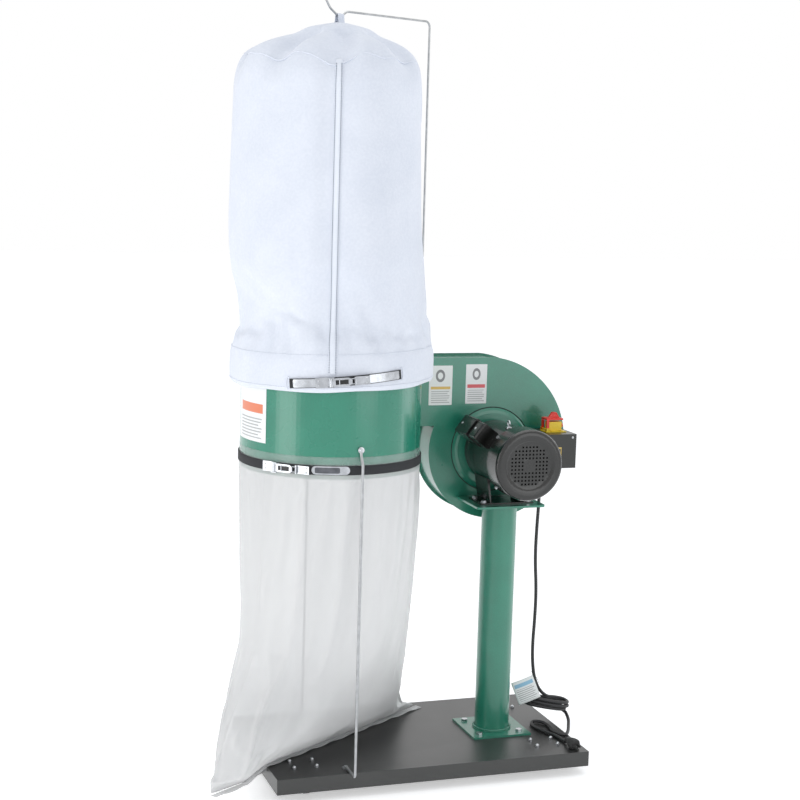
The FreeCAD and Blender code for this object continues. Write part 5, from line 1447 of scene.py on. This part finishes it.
    def rest_on_deck(self, bag: bpy.types.Object) -> None:
        """Keep the film on the deck, and let its corner droop over the deck's left edge."""
        for vert in bag.data.vertices:
            over = max(0.0, self.deck_left - vert.co.x)
            low = 1 - smooth(vert.co.z, 0.08, 0.3)
            vert.co.z -= low * self.droop(over)
            if over == 0.0:
                vert.co.z = max(vert.co.z, self.deck + 0.0008)

    def seal(self) -> bpy.types.Object:
        """Flat welded edge along the bag's bottom."""
        strip = Piece("collection_bag_seal")
        heading = math.radians(self.levels[0][4])
        side = Vector((math.sin(heading), -math.cos(heading), 0))
        made = bmesh.ops.create_grid(strip.mesh, x_segments=60, y_segments=3, size=1.0)["verts"]
        for vert in made:
            turn = 0.0 if vert.co.x > 0 else math.pi
            share = abs(vert.co.x)
            end = self.section(self.levels[0][0], turn)
            start = (self.section(self.levels[0][0], 0.0) + self.section(self.levels[0][0], math.pi)) / 2
            line = start + (end - start) * share
            wave = 0.0012 * math.sin(31 * vert.co.x) * (vert.co.y + 1)
            vert.co = line + side * self.seal_half * (vert.co.y + 1)
            vert.co.z = max(self.deck + 0.001, 0.0735 + wave) - self.droop(self.deck_left - line.x)
        bmesh.ops.recalc_face_normals(strip.mesh, faces=strip.mesh.faces)
        sheet = sheet_object(strip.name, strip.mesh)
        close_shell(sheet, 0.0006, levels=0, offset=0.0)
        return sheet


@dataclass
class BandStraps:
    """Webbing straps of both bags, with their over-centre latches."""

    width: float = 0.025
    thick: float = 0.002
    strip_thick: float = 0.0007
    wire: float = 0.0013
    bail_half: float = 0.0068
    bail_ends: tuple[tuple[float, float], ...] = ((0.004, 0.0108), (0.0475, 0.0075))
    rivet_half: float = 0.0062
    rivet_places: tuple[float, float] = (-0.050, 0.076)
    filter_height: float = 1.160
    filter_tilt: float = -5.0
    slits: tuple[float, float] = (-130.0, -65.0)
    channel: float = 0.265
    front: float = 0.283
    lower_height: float = 0.915
    lower_radius: float = 0.2535
    filter_latch: tuple[float, float] = (-103.0, 0.2843)
    lower_latch: tuple[float, float] = (-136.0, 0.2545)

    def build(self) -> None:
        """Weave both straps, dress the latches and bend their wire bails."""
        self.centre = middle("drum")
        dress(BRIGHT_STEEL, "latch_plates", "filter_latch_lever", "collection_latch_lever")
        tilt = self.about(Matrix.Rotation(math.radians(self.filter_tilt), 4, "Y"), self.filter_height)
        upper = self.band("filter_strap_webbing", self.filter_height, self.upper_radius)
        upper.data.transform(tilt)
        register(upper, BLACK_WEBBING, Body.STAND)
        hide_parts("filter_strap")
        lower = self.band("collection_strap_webbing", self.lower_height, lambda angle: self.lower_radius)
        register(lower, BLACK_WEBBING, Body.STAND)
        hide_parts("collection_strap")
        level = Matrix.Identity(4)
        self.latch_set("filter_latch", self.filter_latch, self.filter_height, tilt, Body.FILTER_LATCH)
        self.latch_set("collection_latch", self.lower_latch, self.lower_height, level, Body.COLLECTION_LATCH)
        upper_skin, lower_skin = self.front + self.thick / 2, self.lower_radius + self.thick / 2
        self.strip("filter_latch_strip", (-86.0, upper_skin), self.filter_height, tilt, 18.5)
        self.strip("filter_latch_tail", (-127.0, upper_skin), self.filter_height, tilt, 12.5)
        self.strip("collection_latch_strip", (-117.0, lower_skin), self.lower_height, level, 23.0,
                   0.0112, 1.0)
        self.strip("collection_latch_inlay", (-115.0, lower_skin + 0.0005), self.lower_height, level, 15.0,
                   0.0078, 0.5, LAMINATION)

    def about(self, turn: Matrix, height: float) -> Matrix:
        """Turn about the drum's middle at a height."""
        spot = Vector((self.centre.x, self.centre.y, height))
        return Matrix.Translation(spot) @ turn @ Matrix.Translation(-spot)

    def upper_radius(self, angle: float) -> float:
        """Middle radius of the filter strap: outside the hem between its slits, inside elsewhere."""
        left, right = self.slits
        outside = smooth(angle, left - 0.6, left + 0.6) * (1 - smooth(angle, right - 0.6, right + 0.6))
        return self.channel + (self.front - self.channel) * outside

    def band(self, name: str, height: float, radius: Callable[[float], float]) -> bpy.types.Object:
        """Spin a flat rounded band and carry it to its radius."""
        half, skin = self.width / 2, self.thick / 2
        rim = skin * 0.45
        outline = [(-skin + rim, -half), (skin - rim, -half), (skin, -half + rim), (skin, half - rim),
                   (skin - rim, half), (-skin + rim, half), (-skin, half - rim), (-skin, -half + rim),
                   (-skin + rim, -half)]
        strap = Piece(name)
        strap.turned([(1.0 + across, up) for across, up in outline], (0, 0, 0), Z_AXIS, 360)
        bmesh.ops.recalc_face_normals(strap.mesh, faces=strap.mesh.faces)
        layer = strap.mesh.loops.layers.uv.verify()
        for face in strap.mesh.faces:
            first = math.atan2(face.verts[0].co.y, face.verts[0].co.x)
            for loop in face.loops:
                turn = math.atan2(loop.vert.co.y, loop.vert.co.x)
                turn += 2 * math.pi * round((first - turn) / (2 * math.pi))
                loop[layer].uv = (turn * 0.25, loop.vert.co.z)
        for vert in strap.mesh.verts:
            turn = math.atan2(vert.co.y, vert.co.x)
            across = Vector((vert.co.x, vert.co.y, 0)).length - 1.0
            angle = math.degrees(turn)
            vert.co = polar(self.centre, radius(angle) + across, angle, height + vert.co.z)
        return sheet_object(strap.name, strap.mesh)

    def latch_matrix(self, latch: tuple[float, float], height: float, tilt: Matrix) -> Matrix:
        """Where a latch piece stands that is built flat along X with Z outwards."""
        angle, radius = latch
        turn = Matrix.Rotation(math.radians(angle + 90), 4, "Z")
        return tilt @ Matrix.Translation(polar(self.centre, radius, angle, height)) @ turn @ UPRIGHT

    def latch_set(self, name: str, latch: tuple[float, float], height: float, tilt: Matrix,
                  body: Body) -> None:
        """Add a latch's rivets, wire bail, thumb lip and a dark inset that paints the shade in the lever's
        middle.

        Args:
            name: start of the pieces' names.
            latch: its angle and radius.
            height: its height.
            tilt: how its strap is tilted.
            body: the lever's body.
        """
        stand = self.latch_matrix(latch, height, tilt)
        bail = Piece(name + "_bail")
        (near, near_out), (far, _) = self.bail_ends
        for side in (-self.bail_half, self.bail_half):
            bail.bar((near, side, near_out), (far, side, 0.0052), self.wire, sides=10)
        for x, out in self.bail_ends:
            bail.bar((x, -0.0080, out), (x, 0.0080, out), self.wire, sides=10)
        bail.move(bail.mesh.verts, stand)
        bail.finish(BRIGHT_STEEL, body, "zinc")
        rivets = Piece(name + "_rivets")
        for x in self.rivet_places:
            for y in (-self.rivet_half, self.rivet_half):
                rivets.turned([(0, 0.0018), (0.0016, 0.0015), (0.0026, 0.0006), (0.0028, -0.0004)],
                              (x, y, 0.0020), Z_AXIS, 14)
        rivets.move(rivets.mesh.verts, stand)
        rivets.finish(ZINC, Body.STAND, "zinc")
        # a thin black box laid over the lever's middle: painted shade where the lever looks dark
        slot = Piece(name + "_slot")
        slot.box((-0.004, -0.0060, 0.0088), (0.0275, 0.0060, 0.0101), 0.0003)
        slot.move(slot.mesh.verts, stand)
        slot.finish(BLACK_PLASTIC, body, "black_plastic")
        grip = Piece(name + "_thumb_lip")
        grip.bar((0.0365, -0.006, 0.0096), (0.0365, 0.006, 0.0096), 0.0012, sides=10, bevel=0.0003)
        grip.move(grip.mesh.verts, stand)
        grip.finish(BRIGHT_STEEL, body, "zinc")

    def strip(self, name: str, place: tuple[float, float], height: float, tilt: Matrix, reach: float,
              half: float = 0.0110, ease: float = 0.3, finish: Finish = BRIGHT_STEEL) -> None:
        """Bend a steel strip with eased or rounded ends along a strap.

        Args:
            name: the piece's name.
            place: angle in degrees where it starts, and its inner radius.
            height: height of its middle.
            tilt: how its strap is tilted.
            reach: angle in degrees that it covers.
            half: half its width.
            ease: its corners' radius as a share of that half width, 1 for a round end.
            finish: its finish.
        """
        sheet = Piece(name)
        angle, radius = place
        corner = ease * half / (math.radians(reach) * radius / 2)
        made = bmesh.ops.create_grid(sheet.mesh, x_segments=60, y_segments=4, size=1.0)["verts"]
        for vert in made:
            end = min(0.97, max(0.0, (abs(vert.co.x) - 1 + corner) / corner))
            up = half * (1 - ease * (1 - math.sqrt(1 - end * end)))
            vert.co = polar(self.centre, radius, angle + reach * (vert.co.x + 1) / 2,
                            height + vert.co.y * up)
        grown = bmesh.ops.extrude_face_region(sheet.mesh, geom=list(sheet.mesh.faces))["geom"]
        for vert in (item for item in grown if isinstance(item, bmesh.types.BMVert)):
            away = Vector((vert.co.x - self.centre.x, vert.co.y - self.centre.y, 0))
            vert.co += away.normalized() * self.strip_thick
        bmesh.ops.recalc_face_normals(sheet.mesh, faces=sheet.mesh.faces)
        sheet.move(sheet.mesh.verts, tilt)
        sheet.finish(finish, Body.STAND, "zinc")


# ---- the mains cord -------------------------------------------------------------------------
@dataclass
class PowerCord:
    """Mains cord: it hangs from its gland, is folded into a hank on the deck and ends in a plug."""

    diameter: float = 0.010
    length: float = 2.30
    drop: tuple[tuple[float, float, float], ...] = (
        (400, 20, 824), (401.5, 20.5, 764), (396.5, 19.5, 664), (395.5, 20.5, 574), (403, 19, 474),
        (402.5, 21, 384), (398.5, 20, 314), (400, 19.5, 254), (408, 20, 204), (425, 21, 166))
    tail: tuple[tuple[float, float, float], ...] = (
        (512, 10, 92), (508, -22, 81), (489, -64, 76), (470, -104, 75.6), (450, -136, 75.6),
        (428, -132, 75.6), (422, -100, 75.6), (430, -58, 75.6), (428, -18, 75.6), (406, 2, 75.6),
        (386, -14, 75.6), (384, -56, 75.6), (396, -98, 75.6), (413, -132, 75.6), (419, -168, 75.6),
        (421, -196, 76.5))
    hank: tuple[float, float, float] = (450, 22, 121)
    hank_tilt: float = 14.0
    turns: float = 3.14
    # half length and half width of each turn, in millimetres
    turn_sizes: tuple[tuple[float, float], ...] = ((68, 29), (73, 33), (65, 27), (70, 31), (66, 28))

    def build(self) -> None:
        """Lay the cord, dress its ends and hang its tag."""
        points = [Vector(spot) * MM for spot in (*self.drop, *self.hank_points(), *self.tail)]
        curve = bpy.data.curves.new("power_cord", "CURVE")
        curve.dimensions = "3D"
        curve.bevel_depth, curve.bevel_resolution, curve.use_fill_caps = self.diameter / 2, 4, True
        curve.resolution_u = 8
        spline = curve.splines.new("NURBS")
        spline.points.add(len(points) - 1)
        for control, spot in zip(spline.points, points):
            control.co = (*spot, 1.0)
        spline.order_u = 3
        spline.use_endpoint_u = True
        cord = link(bpy.data.objects.new("power_cord", curve))
        register(cord, CORD_JACKET, Body.STAND)
        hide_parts("cord_drop", "cord_hank", "cord_tail")
        dress(BLACK_RUBBER, "cord_plug")
        tag = self.tag()
        tie = self.tag_tie()

    def hank_points(self) -> list[Vector]:
        """Turns of the hank, wound down from its top, each a little different."""
        tilt = math.radians(self.hank_tilt)
        along = Vector((math.cos(tilt), 0, -math.sin(tilt)))
        up = Vector((math.sin(tilt), 0, math.cos(tilt)))
        centre = Vector(self.hank)
        points = [centre + along * -2 + up * 20 + Y_AXIS * 3, centre + along * 26 + up * 20.5 + Y_AXIS * 13]
        steps = round(self.turns * 14)
        for i in range(steps + 1):
            share = i / steps
            turn = math.radians(38) - 2 * math.pi * self.turns * share
            at = self.turns * share
            first, second = self.turn_sizes[int(at)], self.turn_sizes[int(at) + 1]
            mix = at - int(at)
            half_length, half_width = (a + (b - a) * mix for a, b in zip(first, second))
            cos, sin = math.cos(turn), math.sin(turn)
            points.append(centre + along * half_length * math.copysign(abs(cos) ** 0.75, cos)
                          + Y_AXIS * half_width * math.copysign(abs(sin) ** 0.85, sin)
                          + up * (19.5 - 34.0 * share))
        return points

    def tag(self) -> bpy.types.Object:
        """Printed card tag."""
        card = Piece("cord_tag_card")
        made = bmesh.ops.create_grid(card.mesh, x_segments=14, y_segments=14, size=0.5)["verts"]
        set_uv(card.mesh, lambda spot: (spot.x + 0.5, spot.y + 0.5))
        bmesh.ops.scale(card.mesh, verts=made, vec=(0.069, 0.073, 1.0))
        for vert in made:
            vert.co.z = 0.0035 * math.cos(vert.co.x * 38) - 0.0025
        turn = Matrix.Rotation(math.radians(-12), 4, "Z") @ Matrix.Rotation(math.radians(-22), 4, "Y")
        card.move(made, Matrix.Translation(middle("cord_tag")) @ turn @ UPRIGHT)
        bmesh.ops.recalc_face_normals(card.mesh, faces=card.mesh.faces)
        tag = sheet_object(card.name, card.mesh)
        close_shell(tag, 0.0005, levels=0, offset=0.0)
        register(tag, TAG_CARD, Body.STAND)
        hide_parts("cord_tag")
        return tag

    def tag_tie(self) -> bpy.types.Object:
        """Thin tie through the tag's corner and round the cord."""
        low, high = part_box("cord_tag")
        cord = Vector((0.4045, 0.0198, 0.222))
        corner = Vector((high.x - 0.010, (low.y + high.y) / 2 - 0.006, (low.z + high.z) / 2 + 0.020))
        side = Vector((0, 0.0068, 0))
        points = [corner, corner + Vector((0.008, 0.012, 0.004)), cord - side + Vector((-0.004, 0, 0)),
                  cord + Vector((0.0068, -0.003, 0.001)), cord + side, cord + Vector((-0.0068, 0.002, 0.002)),
                  corner + Vector((0.003, 0.016, 0.006)), corner + Vector((-0.001, 0.002, 0.002))]
        tie = tube_along("cord_tag_tie", points, 0.0006, cyclic=True, resolution=2)
        return register(tie, BLACK_PLASTIC, Body.STAND)


# ---- the studio -----------------------------------------------------------------------------
@dataclass
class Studio:
    """Pale floor, soft lights and the camera."""

    camera_place: tuple[float, float, float] = (-1.529247, -4.343658, 1.677229)
    azimuth: float = 18.797
    pitch: float = 7.678
    roll: float = 1.636
    lens: float = 73.307
    sensor: float = 36.0
    farthest: float = 80.0
    floor_half: float = 30.0
    soft_colour: Colour = (0.93, 0.96, 1.0, 1.0)
    soft_strength: float = 0.62
    # name, place, target, width and height, watts, colour
    lamps: tuple[tuple, ...] = (
        ("key", (-3.9, -1.3, 1.45), (-0.2, 0, 1.15), (1.9, 2.9), 42, (1.0, 0.995, 0.985)),
        ("front", (1.9, -3.9, 1.7), (0.1, 0, 1.1), (2.0, 2.6), 21, (0.98, 0.99, 1.0)),
        ("right", (3.9, 0.1, 1.4), (0.1, 0, 1.1), (1.5, 2.6), 12, (0.94, 0.97, 1.0)),
        ("top", (0.2, 0.2, 4.6), (0, 0, 0.8), (3.4, 3.4), 38, (1.0, 1.0, 1.0)))

    def build(self) -> None:
        """Set up floor, world, lights and camera."""
        self.floor()
        self.world()
        for lamp in self.lamps:
            self.lamp(*lamp)
        self.camera()

    def floor(self) -> None:
        """Wide pale floor."""
        ground = Piece("studio_floor")
        bmesh.ops.create_grid(ground.mesh, x_segments=2, y_segments=2, size=self.floor_half)
        made = sheet_object(ground.name, ground.mesh)
        made.data.materials.append(PALE_FLOOR.material())

    def world(self) -> None:
        """White surroundings that light the object softly, cooler and dimmer than they look or reflect."""
        world = bpy.data.worlds.new("studio_white")
        world.use_nodes = True
        nodes, links = world.node_tree.nodes, world.node_tree.links
        seen = nodes["Background"]
        soft, choice = nodes.new("ShaderNodeBackground"), nodes.new("ShaderNodeMixShader")
        path, direct = nodes.new("ShaderNodeLightPath"), nodes.new("ShaderNodeMath")
        seen.inputs["Color"].default_value = (1.0, 1.0, 1.0, 1.0)
        soft.inputs["Color"].default_value = self.soft_colour
        soft.inputs["Strength"].default_value = self.soft_strength
        direct.operation = "MAXIMUM"
        for output, socket in ((path.outputs["Is Camera Ray"], direct.inputs[0]),
                               (path.outputs["Is Glossy Ray"], direct.inputs[1]),
                               (direct.outputs[0], choice.inputs[0]), (soft.outputs[0], choice.inputs[1]),
                               (seen.outputs[0], choice.inputs[2]),
                               (choice.outputs[0], nodes["World Output"].inputs["Surface"])):
            links.new(output, socket)
        bpy.context.scene.world = world
        bpy.context.scene.view_settings.view_transform = "Standard"

    @staticmethod
    def lamp(name: str, place: Sequence[float], target: Sequence[float], size: tuple[float, float],
             power: float, colour: Sequence[float]) -> None:
        """Add one soft box that faces a target."""
        data = bpy.data.lights.new("soft_box_" + name, "AREA")
        data.shape, data.size, data.size_y = "RECTANGLE", size[0], size[1]
        data.energy, data.color = power, colour
        made = link(bpy.data.objects.new(data.name, data))
        aim = (Vector(target) - Vector(place)).to_track_quat("-Z", "Y")
        made.matrix_world = Matrix.Translation(Vector(place)) @ aim.to_matrix().to_4x4()

    def camera(self) -> None:
        """Camera on its solved place, level but for a slight roll."""
        azimuth, pitch, roll = (math.radians(angle) for angle in (self.azimuth, self.pitch, self.roll))
        view = Vector((math.sin(azimuth) * math.cos(pitch), math.cos(azimuth) * math.cos(pitch),
                       -math.sin(pitch)))
        right = Vector((math.cos(azimuth), -math.sin(azimuth), 0))
        up = right.cross(view)
        turned_right = right * math.cos(roll) + up * math.sin(roll)
        turned_up = up * math.cos(roll) - right * math.sin(roll)
        data = bpy.data.cameras.new("studio_camera")
        data.lens, data.sensor_width, data.clip_end = self.lens, self.sensor, self.farthest
        made = link(bpy.data.objects.new("studio_camera", data))
        axes = Matrix((turned_right, turned_up, -view)).transposed().to_4x4()
        made.matrix_world = Matrix.Translation(Vector(self.camera_place)) @ axes
        bpy.context.scene.camera = made


def main() -> None:
    """Build every sub-assembly in order."""
    logging.basicConfig(level=logging.INFO, format="%(name)s: %(message)s")
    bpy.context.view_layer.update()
    for part in (Studio(), PowerCord(), RollingBase(), Post(), Motor(), Blower(), Drum(), Rods(),
                 SwitchBox(), FilterBag(), CollectionBag(), BandStraps()):
        LOG.info("building %s", type(part).__name__)
        part.build()


if __name__ == "__main__":
    main()
